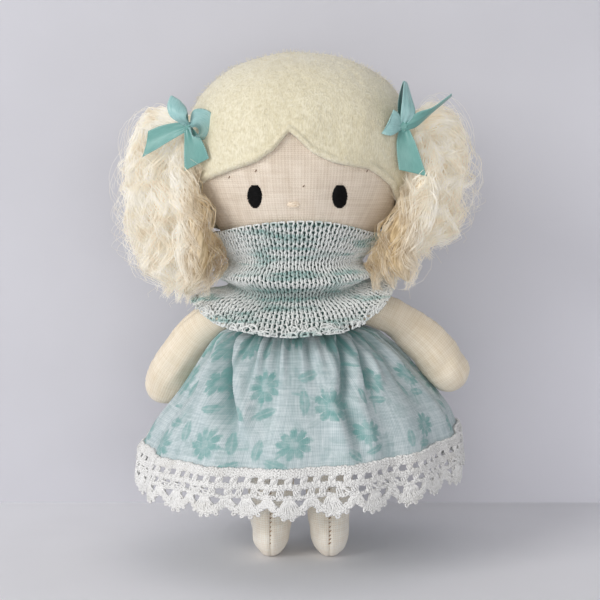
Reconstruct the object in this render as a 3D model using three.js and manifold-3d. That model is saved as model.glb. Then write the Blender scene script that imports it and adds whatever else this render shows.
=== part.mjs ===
// A stuffed linen doll with a felt hair cap, curled mohair pigtails, satin bows,
// a knitted cowl and a gathered cotton skirt with a crocheted lace hem.
// Millimetres, +Z up, the doll faces -Y, its own left hand is at +X.
// The origin lies on the floor, below the middle of the doll.
import * as THREE from 'three';
import { mergeVertices } from 'three/addons/utils/BufferGeometryUtils.js';
import Module from 'manifold-3d';

const wasm = await Module();
wasm.setup();

// Driving sizes shared by the whole doll
const dollHeight = 150;
const gap = 0.3;
const linen = 0.7;
const felt = 1.2;
const overrun = 20;

// Head: a stuffed ball, wider than deep, that tapers to the chin
const headHalfWidth = 32.7;
const headHalfDepth = 27.2;
const headBottom = 82;
const headTop = dollHeight - felt - gap;
const headHalfHeight = (headTop - headBottom) / 2;
const headMiddle = headBottom + headHalfHeight;
const headSides = 20;
// height share from the middle, width share
const headShares = [
  [-0.95, 0.26], [-0.8, 0.51], [-0.6, 0.675], [-0.34, 0.84], [-0.1, 0.95],
  [0.2, 1], [0.5, 0.94], [0.74, 0.765], [0.91, 0.49],
];

// Hair cap: the front edge parts at the forehead and hangs to the cheeks
const capNapeHeight = 98.5;
const capNapeSlopeShare = -0.17;
const partingX = -3;
const partingHeight = 126.8;
const hairlineLeftX = [-12.4, -19.2, -27.8, -36];
const hairlineLeftHeights = [118.2, 115.9, 112.6, 106];
const hairlineRightX = [0.3, 3.7, 9.6, 15, 19.7, 23.3, 26.4, 28.4, 29];
const hairlineRightHeights = [123.8, 120.7, 118, 117, 116.2, 114, 111.3, 106.5, 100];

// Face
const eyeHalfWidth = 2.2;
const eyeHalfHeight = 3.4;
const leftEyeX = 11.2;
const rightEyeX = -12.7;
const eyeHeight = 108.5;
const stitchRise = 0.5;
const noseHalfWidth = 1.9;
const noseHalfHeight = 1.1;
const noseX = -1.6;
const noseHeight = 106.1;
const stitchSides = 16;

// Torso: pear-shaped, with square shoulders and a short neck under the head
const torsoHalfWidth = 14.8;
const torsoHalfDepth = 10.2;
const torsoBottom = 38;
const neckTop = 86;
const torsoSides = 16;
// height share from the bottom, width share, depth share
const torsoShares = [
  [0.05, 0.62, 0.52], [0.15, 0.94, 0.86], [0.33, 1, 1], [0.52, 0.96, 0.97], [0.67, 0.95, 0.9],
  [0.79, 0.98, 0.82], [0.87, 0.9, 0.74], [0.93, 0.54, 0.62],
];

// Arms: sewn tubes that swell towards the hand, swinging on one thread through the shoulders
const shoulderX = 20;
const shoulderHeight = 75;
const shoulderRadius = 5.2;
const handRadius = 6.8;
const armSides = 12;
const threadRadius = 0.6;
// the route of each arm's middle line after the shoulder, and how far it swings back at rest
const leftArmX = [27.8, 35, 40.6, 44.4];
const leftArmHeights = [71.8, 66.4, 61, 55.8];
const leftArmSwing = 0;
const rightArmX = [29.8, 36.5, 40.3, 42.2];
const rightArmHeights = [66.9, 56.1, 48.7, 43.6];
const rightArmSwing = 0.65;
// shares of an end's radius at which its round end gets a ring
const roundEndShares = [0.35, 0.75];
// place along the arm, radius between the shoulder's and the hand's
const armShares = [[0.02, 0], [0.17, 0.1], [0.38, 0.45], [0.6, 0.8], [0.8, 1], [0.94, 0.92]];

// Legs: sewn tubes with a round knob at the hip and a foot that points forward
const hipX = 8.8;
const hipHeight = 38;
const hipRadius = 6.2;
const legHalfWidth = 6.9;
const footHalfLength = 9.6;
const footForward = 2.9;
const soleSink = 0.5;
const legSides = 14;
// height share of the leg, width share, length share, share of the forward shift
const legShares = [
  [0.013, 0.36, 0.6, 0.45], [0.045, 0.56, 0.82, 0.8], [0.1, 0.74, 0.96, 1], [0.19, 0.85, 1, 1],
  [0.29, 0.94, 0.86, 0.62], [0.42, 1, 0.73, 0.1], [0.62, 0.98, 0.7, 0], [0.78, 0.91, 0.66, 0],
];
// the knob's own ring: height share of the leg, width share, length share of the knob's radius
const legKnobShares = [0.92, 0.74, 0.82];

// Skirt: gathered on an elastic below the arms, with soft folds to the hem
const skirtTop = 69.2;
const skirtHem = 35;
const skirtCloth = 0.8;
const skirtHemHalfWidth = 47.3;
const skirtHemHalfDepth = 38.6;
const gatherHalfWidth = 17.4;
const gatherHalfDepth = 13.2;
// how much higher the hem hangs all round, at the left hand and at the back
const hemRise = 0.25;
const hemSideRise = 2.15;
const hemBackRise = 3;
const hemWaves = 14;
const hemWaveDepth = 1.3;
const skirtColumns = 108;
// share of the way down, shares of the way out in width and in depth, shift towards the left hand
const skirtShares = [
  [0, 0, 0, 0], [0.03, 0.11, 0.1, 0], [0.1, 0.22, 0.22, 0.1], [0.2, 0.34, 0.35, 0.6],
  [0.35, 0.49, 0.5, 1.2], [0.55, 0.68, 0.69, 1.7], [0.78, 0.88, 0.88, 1], [1, 1, 1, 0],
];
// place round the doll at the gathers, half way and at the hem, reach down, depth, half width
const skirtCreases = [
  [0.025, 0.03, 0.035, 0.8, 1.3, 1.9], [0.07, 0.08, 0.075, 0.6, 1.7, 1.6],
  [0.12, 0.115, 0.12, 0.9, 1.2, 2], [0.16, 0.165, 0.16, 0.7, 1.9, 1.7],
  [0.205, 0.2, 0.21, 0.85, 1.1, 1.8], [0.245, 0.25, 0.24, 0.65, 1.8, 1.6],
  [0.295, 0.29, 0.3, 0.9, 1.4, 2], [0.335, 0.34, 0.33, 0.6, 1.7, 1.7],
  [0.385, 0.38, 0.39, 0.85, 1.2, 1.8], [0.43, 0.425, 0.42, 0.7, 1.8, 1.9],
  [0.475, 0.475, 0.48, 0.8, 1.2, 1.7], [0.54, 0.568, 0.585, 0.7, 1.1, 2],
  [0.583, 0.645, 0.698, 0.85, 3.4, 2.2], [0.655, 0.68, 0.7, 0.35, 0.9, 1.3],
  [0.7, 0.71, 0.72, 0.38, 1.5, 1.4], [0.765, 0.762, 0.76, 0.4, 1, 1.4],
  [0.84, 0.798, 0.812, 1, 1.8, 1.6], [0.872, 0.835, 0.82, 0.62, 1.5, 1.4],
  [0.925, 0.9, 0.89, 0.6, 1.2, 1.6], [0.975, 0.965, 0.96, 0.9, 1.3, 2],
];
const creaseStartShare = 0.08;
const creaseFadeShare = 0.3;
const creaseRidgeShare = 0.42;
const creaseRidgePlace = 2;
const creaseSpreadShare = 0.5;
const elasticHeight = 4;
const elasticThickness = 0.8;
const elasticSides = 28;

// Lace: a crocheted edging round the hem, with a row of square holes above the scallops
const laceTop = 36.6;
const laceTip = 23;
const laceNotch = 25.6;
const laceThickness = 1.2;
const laceHoleTop = 34.4;
const laceHoleBottom = 32.4;
const laceFlare = 1;
const laceScallops = 25;
const holesPerScallop = 3;

// Cowl: a knitted tube round the neck and chin, folded once above its flared hem
const cowlKnit = 1.3;
const cowlTopHalfWidth = 26.6;
const cowlTopHalfDepth = 24.1;
const cowlTopHeight = 97;
const cowlTopSlopeShare = -0.17;
const cowlWaistHalfWidth = 20;
const cowlWaistHalfDepth = 17.2;
const cowlWaistHeight = 88.6;
const cowlBulgeHalfWidth = 23.6;
const cowlBulgeHalfDepth = 20.4;
const cowlBulgeHeight = 84.6;
const cowlHemHalfWidth = 30.6;
const cowlHemHalfDepth = 26;
const cowlHemShift = -1.3;
const cowlColumns = 28;
const cowlFoldShare = 0.7;
const cowlHemShare = 0.45;
// the row at which the knit turns back over itself, and the rows after it
const cowlFoldRow = 4;
const cowlFlareRows = 2;
// heights of the fold and of the hem at the left, right, front and back of the doll
const foldHeights = [84.6, 83, 79.4, 81];
const hemHeights = [84, 79, 69, 76];

// Pigtails: bunches of curls that hang from a tie at each side of the cap
const pigtailX = [30, 36.4, 40.8, 41, 39.2, 38.6, 38.4];
const pigtailY = [0, 0.6, 2.1, 1.2, -2, -3, -3];
const leftPigtailHeights = [127.8, 128.6, 127.2, 118, 106, 95, 86];
const rightPigtailHeights = [127.8, 128.6, 127.2, 118, 105, 92, 82];
// place along the pigtail, radius share of the fullest part
const pigtailShares = [
  [0.02, 0.2], [0.075, 0.2], [0.125, 0.21], [0.17, 0.46], [0.27, 0.64], [0.42, 0.86], [0.6, 1],
  [0.8, 0.95], [0.93, 0.66],
];
const pigtailRadius = 12.2;
const hairClearance = 3 * gap;
const pigtailSides = 12;
const tieShare = 0.085;
const tieCord = 0.5;
const tieSides = 6;

// Bows: one satin ribbon each, with two loops, a knot and two tails
const ribbonWidth = 6.5;
const ribbonThickness = 0.5;
const knotSize = 3.6;
const loopOpening = 2.6;
const bowX = 30.4;
const bowY = -15.7;
const bowHeight = 127.8;
const bowTurn = Math.PI / 4;
const bowSides = 8;
const upright = Math.PI / 2;
// for each bow, the length of a ribbon end and its rise above the level that points away from the face
const leftBowLoops = [[12.2, 0.97 * upright], [7.6, 1.9 * upright]];
const leftBowTails = [[16.2, 0.36 * upright], [13.4, -0.87 * upright]];
const rightBowLoops = [[9.2, 0.72 * upright], [7.6, 2.06 * upright]];
const rightBowTails = [[13.4, -0.24 * upright], [11.2, -1.12 * upright]];

// Triangles of a solid, from a geometry with or without shared corners
function solidFromGeometry(geometry) {
  const bare = geometry.clone();
  bare.deleteAttribute('normal');
  bare.deleteAttribute('uv');
  const merged = mergeVertices(bare, gap / 1000);
  const mesh = new wasm.Mesh({
    numProp: 3,
    vertProperties: new Float32Array(merged.attributes.position.array),
    triVerts: new Uint32Array(merged.index.array),
  });
  return new wasm.Manifold(mesh);
}

function geometryFromSolid(solid) {
  const mesh = solid.getMesh();
  const geometry = new THREE.BufferGeometry();
  geometry.setAttribute('position', new THREE.Float32BufferAttribute(mesh.vertProperties, 3));
  geometry.setIndex(Array.from(mesh.triVerts));
  geometry.computeVertexNormals();
  return geometry;
}

function geometryFromPoints(points, triangles) {
  const geometry = new THREE.BufferGeometry();
  const flat = points.flatMap((point) => [point.x, point.y, point.z]);
  geometry.setAttribute('position', new THREE.Float32BufferAttribute(flat, 3));
  geometry.setIndex(triangles.flat());
  return geometry;
}

// A closed form through rings of points, with one point closing each end
function loftSolid(rings, firstTip, lastTip) {
  const sides = rings[0].length;
  const points = [firstTip, ...rings.flat(), lastTip];
  const lastRow = 1 + (rings.length - 1) * sides;
  const triangles = [];
  for (let side = 0; side < sides; side += 1) {
    const next = (side + 1) % sides;
    triangles.push([0, 1 + next, 1 + side]);
    triangles.push([points.length - 1, lastRow + side, lastRow + next]);
    for (let ring = 0; ring < rings.length - 1; ring += 1) {
      const low = 1 + ring * sides;
      const high = low + sides;
      triangles.push([low + side, low + next, high + next]);
      triangles.push([low + side, high + next, high + side]);
    }
  }
  return solidFromGeometry(geometryFromPoints(points, triangles));
}

// A closed ring with a wall, from rows of outer and inner points; open cells become holes
function ringWallGeometry(outer, inner, isOpen = () => false) {
  const rows = outer.length;
  const columns = outer[0].length;
  const points = [...outer.flat(), ...inner.flat()];
  const layer = rows * columns;
  const at = (side, row, column) => side * layer + row * columns + (column % columns);
  const closed = (row, column) => row >= 0 && row < rows - 1 && !isOpen(row, (column + columns) % columns);
  const triangles = [];
  const quad = (a, b, c, d) => triangles.push([a, b, c], [a, c, d]);
  for (let row = 0; row < rows - 1; row += 1) {
    for (let column = 0; column < columns; column += 1) {
      if (!closed(row, column)) {
        continue;
      }
      const next = column + 1;
      quad(at(0, row, column), at(0, row + 1, column), at(0, row + 1, next), at(0, row, next));
      quad(at(1, row, column), at(1, row, next), at(1, row + 1, next), at(1, row + 1, column));
      if (!closed(row - 1, column)) {
        quad(at(0, row, column), at(0, row, next), at(1, row, next), at(1, row, column));
      }
      if (!closed(row + 1, column)) {
        quad(at(0, row + 1, next), at(0, row + 1, column), at(1, row + 1, column), at(1, row + 1, next));
      }
      if (!closed(row, column - 1)) {
        quad(at(0, row + 1, column), at(0, row, column), at(1, row, column), at(1, row + 1, column));
      }
      if (!closed(row, column + 1)) {
        quad(at(0, row, next), at(0, row + 1, next), at(1, row + 1, next), at(1, row, next));
      }
    }
  }
  return geometryFromPoints(points, triangles);
}

function ellipsePoint(halfWidth, halfDepth, turn, height, centreY = 0) {
  const angle = turn * 2 * Math.PI;
  return new THREE.Vector3(halfWidth * Math.cos(angle), centreY + halfDepth * Math.sin(angle), height);
}

function ellipseRing(sides, halfWidth, halfDepth, height, centreX = 0, centreY = 0) {
  return Array.from({ length: sides }, (_, side) => {
    const point = ellipsePoint(halfWidth, halfDepth, side / sides, height, centreY);
    point.x += centreX;
    return point;
  });
}

function boxSolid(width, depth, height, x, y, z) {
  const box = new THREE.BoxGeometry(width, depth, height);
  box.translate(x, y, z);
  return solidFromGeometry(box);
}

// The half of space beyond a plane, as a block large enough to cut the doll with
function halfSpace(axis, side, place) {
  const size = 2 * dollHeight;
  const centre = new THREE.Vector3().setComponent(axis, place + side * dollHeight);
  return boxSolid(size, size, size, centre.x, centre.y, centre.z);
}

// Head forms: the same ball grown or shrunk by an even amount
function headForm(grow, halfDepth = headHalfDepth) {
  const rings = headShares.map(([heightShare, widthShare]) => ellipseRing(
    headSides,
    (headHalfWidth + grow) * widthShare,
    (halfDepth + grow) * widthShare,
    headMiddle + heightShare * (headHalfHeight + grow),
  ));
  const bottom = new THREE.Vector3(0, 0, headMiddle - headHalfHeight - grow);
  const top = new THREE.Vector3(0, 0, headMiddle + headHalfHeight + grow);
  return loftSolid(rings, bottom, top);
}

function shellHalves(outer, inner, axis) {
  const shell = outer.subtract(inner);
  return [-1, 1].map((side) => shell.intersect(halfSpace(axis, side, side * gap / 2)));
}

// The region above the hairline, as an outline in the front view drawn out along Y
function hairlineRegion() {
  const outline = new THREE.Shape();
  const left = hairlineLeftX.map((x, index) => new THREE.Vector2(x, hairlineLeftHeights[index]));
  const right = hairlineRightX.map((x, index) => new THREE.Vector2(x, hairlineRightHeights[index]));
  const beyond = headHalfWidth + overrun;
  outline.moveTo(-beyond, dollHeight + overrun);
  outline.lineTo(-beyond, left[left.length - 1].y);
  [...left].reverse().forEach((point) => outline.lineTo(point.x, point.y));
  outline.lineTo(partingX, partingHeight);
  right.forEach((point) => outline.lineTo(point.x, point.y));
  outline.lineTo(beyond, right[right.length - 1].y);
  outline.lineTo(beyond, dollHeight + overrun);
  const depth = headHalfDepth + overrun;
  const geometry = new THREE.ExtrudeGeometry(outline, { depth, bevelEnabled: false });
  geometry.rotateX(Math.PI / 2);
  geometry.translate(0, -gap / 2, 0);
  return solidFromGeometry(geometry);
}

// The region above the sloping lower edge of the felt at the nape
function napeRegion() {
  const size = 2 * dollHeight;
  const geometry = new THREE.BoxGeometry(size, size, size);
  geometry.translate(0, 0, dollHeight);
  geometry.rotateX(Math.atan(capNapeSlopeShare));
  geometry.translate(0, 0, capNapeHeight);
  return solidFromGeometry(geometry);
}

// A small patch of stitches that follows the face
function stitchPatch(halfWidth, halfHeight, x, z) {
  const geometry = new THREE.CylinderGeometry(1, 1, headHalfDepth + overrun, stitchSides);
  geometry.scale(halfWidth, 1, halfHeight);
  geometry.translate(x, -(headHalfDepth + overrun) / 2, z);
  return headForm(gap + stitchRise).subtract(headForm(gap)).intersect(solidFromGeometry(geometry));
}

// Torso form, cut where the head and the limbs sit on it
function torsoForm(grow) {
  const height = neckTop - torsoBottom;
  const rings = torsoShares.map(([heightShare, widthShare, depthShare]) => ellipseRing(
    torsoSides,
    torsoHalfWidth * widthShare + grow,
    torsoHalfDepth * depthShare + grow,
    torsoBottom - grow + heightShare * (height + grow),
  ));
  const neck = rings[rings.length - 1].map((point) => point.clone().setZ(neckTop));
  const bottom = new THREE.Vector3(0, 0, torsoBottom - grow);
  return loftSolid([...rings, neck], bottom, new THREE.Vector3(0, 0, neckTop));
}

function ballSolid(radius, x, z) {
  const ball = new THREE.SphereGeometry(radius, armSides, armSides / 2);
  ball.rotateX(Math.PI / 2);
  ball.translate(x, 0, z);
  return solidFromGeometry(ball);
}

function rodAlongX(radius, halfLength, x, z) {
  const rod = new THREE.CylinderGeometry(radius, radius, 2 * halfLength, armSides);
  rod.rotateZ(Math.PI / 2);
  rod.translate(x, 0, z);
  return solidFromGeometry(rod);
}

function torsoSeats() {
  let seats = headForm(gap, headHalfWidth);
  [-1, 1].forEach((side) => {
    seats = seats.add(ballSolid(shoulderRadius + 2 * gap, side * shoulderX, shoulderHeight));
    const hipHalfWidth = legHalfWidth + gap;
    seats = seats.add(rodAlongX(hipRadius + 2 * gap, hipHalfWidth, side * hipX, hipHeight));
  });
  return seats;
}

// A limb round a curved middle line
function limbSolid(route, radii, sides, grow) {
  const depthAxis = new THREE.Vector3(0, 1, 0);
  const rings = radii.map(([share, radius]) => {
    const centre = route.getPointAt(share);
    const way = route.getTangentAt(share);
    const across = new THREE.Vector3().crossVectors(depthAxis, way).normalize();
    const aside = new THREE.Vector3().crossVectors(way, across);
    return Array.from({ length: sides }, (_, side) => {
      const angle = (side / sides) * 2 * Math.PI;
      const point = centre.clone().addScaledVector(across, (radius + grow) * Math.cos(angle));
      return point.addScaledVector(aside, (radius + grow) * Math.sin(angle));
    });
  });
  const firstTip = route.getPointAt(0).addScaledVector(route.getTangentAt(0), -grow);
  const lastTip = route.getPointAt(1).addScaledVector(route.getTangentAt(1), grow);
  return loftSolid(rings, firstTip, lastTip);
}

// Arm route with the knob at the shoulder and the round hand added to its ends
function armRoute(side, xs, heights) {
  const points = [shoulderX, ...xs].map((x, index) => {
    const height = index === 0 ? shoulderHeight : heights[index - 1];
    return new THREE.Vector3(side * x, 0, height);
  });
  const middle = new THREE.CatmullRomCurve3(points);
  const first = points[0].clone().addScaledVector(middle.getTangentAt(0), -shoulderRadius);
  const last = middle.getPointAt(1).addScaledVector(middle.getTangentAt(1), handRadius);
  return new THREE.CatmullRomCurve3([first, ...points, last]);
}

function armRadii(route) {
  const length = route.getLength();
  const shape = armShares.map(([share, swell]) => {
    const place = shoulderRadius + share * (length - shoulderRadius - handRadius);
    return [place / length, shoulderRadius + swell * (handRadius - shoulderRadius)];
  });
  const knob = roundEndShares.map((share) => {
    const radius = shoulderRadius * Math.sin(Math.acos(1 - share));
    return [share * shoulderRadius / length, radius];
  });
  const hand = roundEndShares.map((share) => {
    const radius = handRadius * Math.sin(Math.acos(share));
    return [1 - (1 - share) * handRadius / length, radius];
  });
  return [...knob, ...shape, ...hand];
}

// Leg form: level sections from the sole to the round knob at the hip
function legForm(side, grow) {
  const top = hipHeight + hipRadius;
  const height = top + soleSink;
  const [knobHeightShare, knobWidthShare, knobLengthShare] = legKnobShares;
  const knobRow = [knobHeightShare, knobWidthShare, knobLengthShare * hipRadius / footHalfLength, 0];
  const rows = [...legShares, knobRow];
  const rings = rows.map(([heightShare, widthShare, lengthShare, shiftShare]) => ellipseRing(
    legSides,
    legHalfWidth * widthShare + grow,
    footHalfLength * lengthShare + grow,
    -soleSink + heightShare * height,
    side * hipX,
    -footForward * shiftShare,
  ));
  const sole = new THREE.Vector3(side * hipX, -footForward * legShares[0][3], -soleSink - grow);
  const knob = new THREE.Vector3(side * hipX, 0, top + grow);
  return loftSolid(rings, sole, knob);
}

// How far the creases push the cloth in, and out beside them, at a place on the skirt
function creaseDepth(turn, downShare, girth) {
  const share = (value) => Math.min(Math.max(value, 0), 1);
  return skirtCreases.reduce((sum, [top, middle, hem, reach, depth, halfWidth]) => {
    const [from, to] = downShare < 0.5 ? [top, middle] : [middle, hem];
    const place = from + (to - from) * (downShare < 0.5 ? 2 * downShare : 2 * downShare - 1);
    const aside = (turn - place) * girth / (halfWidth * (1 + creaseSpreadShare * downShare));
    const fade = share(downShare / creaseStartShare) * share((reach - downShare) / creaseFadeShare);
    const ridge = creaseRidgeShare * Math.exp(-((Math.abs(aside) - creaseRidgePlace) ** 2));
    return sum + depth * fade * (ridge - Math.exp(-(aside ** 2)));
  }, 0);
}

// The hem hangs in a sloping plane, because the doll leans back
function hemSlope(turn) {
  const angle = turn * 2 * Math.PI;
  return hemRise + hemSideRise * Math.cos(angle) + hemBackRise * Math.sin(angle);
}

// Skirt surface point, with creases below the gathers and soft waves towards the hem
function skirtPoint(turn, row, grow) {
  const [downShare, widthShare, depthShare, shift] = row;
  const halfWidth = gatherHalfWidth + widthShare * (skirtHemHalfWidth - gatherHalfWidth);
  const halfDepth = gatherHalfDepth + depthShare * (skirtHemHalfDepth - gatherHalfDepth);
  const wave = hemWaveDepth * downShare * Math.sin(turn * hemWaves * 2 * Math.PI);
  const out = grow + wave + creaseDepth(turn, downShare, Math.PI * (halfWidth + halfDepth));
  const height = skirtTop + downShare * (skirtHem - skirtTop) + downShare ** 2 * hemSlope(turn);
  const point = ellipsePoint(halfWidth + out, halfDepth + out, turn, height);
  point.x += shift;
  return point;
}

function skirtHemPoint(turn, grow) {
  return skirtPoint(turn, skirtShares[skirtShares.length - 1], grow);
}

function skirtGeometry() {
  const wall = (grow) => skirtShares.map((row) => Array.from(
    { length: skirtColumns },
    (_, column) => skirtPoint(column / skirtColumns, row, grow),
  ));
  return ringWallGeometry(wall(0), wall(-skirtCloth));
}

// An even band round an ellipse
function bandGeometry(sides, halfWidth, halfDepth, thickness, top, bottom) {
  const wall = (grow) => [top, bottom].map(
    (height) => ellipseRing(sides, halfWidth + grow, halfDepth + grow, height),
  );
  return ringWallGeometry(wall(thickness), wall(0));
}

// Lace: rows from the top band to the scalloped edge, leaning outwards
function laceGeometry() {
  const columns = laceScallops * holesPerScallop * 2;
  const rowPoint = (column, heightOf, grow) => {
    const turn = column / columns;
    const height = heightOf(turn);
    const outShare = (laceTop - height) / (laceTop - laceTip);
    const seat = gap + laceFlare * outShare + grow;
    return skirtHemPoint(turn, seat).setZ(height + hemSlope(turn));
  };
  const scallop = (turn) => {
    const wave = Math.abs(Math.sin(turn * laceScallops * Math.PI));
    return laceNotch + (laceTip - laceNotch) * wave;
  };
  const heights = [() => laceTop, () => laceHoleTop, () => laceHoleBottom, scallop];
  const wall = (grow) => heights.map((heightOf) => Array.from(
    { length: columns },
    (_, column) => rowPoint(column, heightOf, grow),
  ));
  const isHole = (row, column) => row === 1 && column % 2 === 0;
  return ringWallGeometry(wall(laceThickness), wall(0), isHole);
}

// A height that changes round the doll, from its values at the left, right, front and back
function heightRound([left, right, front, back], turn) {
  const angle = turn * 2 * Math.PI;
  const sideShare = Math.cos(angle) ** 4;
  const across = (left + right) / 2 + (left - right) / 2 * Math.cos(angle);
  const along = (back + front) / 2 + (back - front) / 2 * Math.sin(angle);
  return across * sideShare + along * (1 - sideShare);
}

function cowlGeometry() {
  const waistDepth = cowlWaistHalfDepth;
  const tilted = (height, halfDepth) => (turn) => {
    const y = halfDepth * Math.sin(turn * 2 * Math.PI);
    return height + y * cowlTopSlopeShare;
  };
  const foldHeight = (turn) => heightRound(foldHeights, turn);
  const hemHeight = (turn) => heightRound(hemHeights, turn);
  const mix = (low, high, share) => (turn) => low(turn) + (high(turn) - low(turn)) * share;
  const foldHalfWidth = cowlBulgeHalfWidth - cowlKnit;
  const foldHalfDepth = cowlBulgeHalfDepth - cowlKnit;
  const midHalfWidth = foldHalfWidth + (cowlHemHalfWidth - foldHalfWidth) * (1 - cowlHemShare);
  const midHalfDepth = foldHalfDepth + (cowlHemHalfDepth - foldHalfDepth) * (1 - cowlHemShare);
  const rollHeight = (cowlTopHeight + cowlWaistHeight) / 2;
  const rollHalfWidth = (cowlTopHalfWidth + cowlWaistHalfWidth) / 2;
  const rollHalfDepth = (cowlTopHalfDepth + waistDepth) / 2;
  const rows = [
    [cowlTopHalfWidth, cowlTopHalfDepth, tilted(cowlTopHeight, cowlTopHalfDepth)],
    [rollHalfWidth, rollHalfDepth, tilted(rollHeight, rollHalfDepth * cowlFoldShare)],
    [cowlWaistHalfWidth, waistDepth, tilted(cowlWaistHeight, 0)],
    [cowlBulgeHalfWidth, cowlBulgeHalfDepth, mix(() => cowlBulgeHeight, foldHeight, 1 - cowlFoldShare)],
    [foldHalfWidth, foldHalfDepth, foldHeight],
    [midHalfWidth, midHalfDepth, mix(foldHeight, hemHeight, cowlHemShare)],
    [cowlHemHalfWidth, cowlHemHalfDepth, hemHeight],
  ];
  const wall = (grow, drop) => rows.map(([halfWidth, halfDepth, heightOf], row) => Array.from(
    { length: cowlColumns },
    (_, column) => {
      const turn = column / cowlColumns;
      const flareShare = Math.max(0, row - cowlFoldRow) / cowlFlareRows;
      const sink = row >= cowlFoldRow ? drop : 0;
      const point = ellipsePoint(halfWidth + grow, halfDepth + grow, turn, heightOf(turn) - sink);
      point.x += cowlHemShift * flareShare;
      return point;
    },
  ));
  return ringWallGeometry(wall(0, 0), wall(-cowlKnit, cowlKnit / 2));
}

// Middle line of a pigtail
function pigtailRoute(side, heights) {
  return new THREE.CatmullRomCurve3(
    heights.map((height, index) => new THREE.Vector3(side * pigtailX[index], pigtailY[index], height)),
  );
}

// Pigtail: a bunch that swells below its tie, clear of the head and of the cowl
function pigtailSolid(route) {
  const radii = pigtailShares.map(([share, radiusShare]) => [share, radiusShare * pigtailRadius]);
  const bunch = limbSolid(route, radii, pigtailSides, 0);
  const cowlKeepOut = new THREE.LatheGeometry([
    new THREE.Vector2(0, 0),
    new THREE.Vector2(cowlHemHalfWidth + hairClearance, 0),
    new THREE.Vector2(cowlHemHalfWidth + hairClearance, hemHeights[0] + hairClearance),
    new THREE.Vector2(cowlTopHalfWidth + hairClearance, cowlWaistHeight + hairClearance),
    new THREE.Vector2(cowlTopHalfWidth + hairClearance, cowlTopHeight + hairClearance),
    new THREE.Vector2(0, cowlTopHeight + hairClearance),
  ], headSides);
  cowlKeepOut.rotateX(Math.PI / 2);
  return bunch.subtract(headForm(felt + 2 * gap)).subtract(solidFromGeometry(cowlKeepOut));
}

// Bow: each loop is a flattened tube of ribbon, and each tail a flat strip, from one knot
function bowSolid(side, loops, tails) {
  const turnTo = (geometry, rise) => geometry.rotateY(side > 0 ? -rise : rise - Math.PI);
  const loop = ([length, rise]) => {
    const outline = new THREE.Shape();
    outline.absellipse(length / 2, 0, length / 2, loopOpening / 2, 0, 2 * Math.PI);
    const hole = new THREE.Path();
    const holeLength = length / 2 - ribbonThickness;
    const holeOpening = loopOpening / 2 - ribbonThickness;
    hole.absellipse(length / 2, 0, holeLength, holeOpening, 0, 2 * Math.PI);
    outline.holes.push(hole);
    const options = { depth: ribbonWidth, bevelEnabled: false, curveSegments: bowSides };
    const geometry = new THREE.ExtrudeGeometry(outline, options);
    geometry.translate(0, 0, -ribbonWidth / 2);
    return solidFromGeometry(turnTo(geometry, rise));
  };
  const tail = ([length, rise]) => {
    const geometry = new THREE.BoxGeometry(length, ribbonThickness, ribbonWidth);
    geometry.translate(length / 2, 0, 0);
    return solidFromGeometry(turnTo(geometry, rise));
  };
  const knot = new THREE.SphereGeometry(knotSize / 2, bowSides, bowSides);
  const parts = [...loops.map(loop), ...tails.map(tail)];
  return parts.reduce((solid, part) => solid.add(part), solidFromGeometry(knot));
}

// The finished doll: one group with a named mesh for each piece
const doll = new THREE.Group();
doll.name = 'doll';

const looks = {
  linen: { color: 0xdccdb8, roughness: 0.95, metalness: 0 },
  felt: { color: 0xf0e8c8, roughness: 1, metalness: 0 },
  stuffing: { color: 0xf4f2ec, roughness: 1, metalness: 0 },
  mohair: { color: 0xe8decc, roughness: 0.8, metalness: 0 },
  satin: { color: 0x6ea8a8, roughness: 0.35, metalness: 0 },
  blackThread: { color: 0x14120f, roughness: 0.5, metalness: 0 },
  creamThread: { color: 0xe6d8c2, roughness: 0.6, metalness: 0 },
  cotton: { color: 0xc3d8da, roughness: 0.9, metalness: 0 },
  lace: { color: 0xf6f6f4, roughness: 0.9, metalness: 0 },
  knit: { color: 0xb8cccb, roughness: 0.9, metalness: 0 },
  elastic: { color: 0xf2f2f0, roughness: 0.8, metalness: 0 },
};

function addPiece(name, look, shape) {
  const geometry = shape.isBufferGeometry ? shape : geometryFromSolid(shape);
  const piece = new THREE.Mesh(geometry, new THREE.MeshStandardMaterial(looks[look]));
  piece.name = name;
  doll.add(piece);
  return piece;
}

// Head
const [facePanel, backPanel] = shellHalves(headForm(0), headForm(-linen), 1);
addPiece('face_panel', 'linen', facePanel);
addPiece('head_back_panel', 'linen', backPanel);
addPiece('head_stuffing', 'stuffing', headForm(-linen - gap));
const [capFront, capBack] = shellHalves(headForm(felt + gap), headForm(gap), 1);
addPiece('hair_cap_front', 'felt', capFront.intersect(hairlineRegion()));
addPiece('hair_cap_back', 'felt', capBack.intersect(napeRegion()));
addPiece('left_eye', 'blackThread', stitchPatch(eyeHalfWidth, eyeHalfHeight, leftEyeX, eyeHeight));
addPiece('right_eye', 'blackThread', stitchPatch(eyeHalfWidth, eyeHalfHeight, rightEyeX, eyeHeight));
addPiece('nose', 'creamThread', stitchPatch(noseHalfWidth, noseHalfHeight, noseX, noseHeight));

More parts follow.
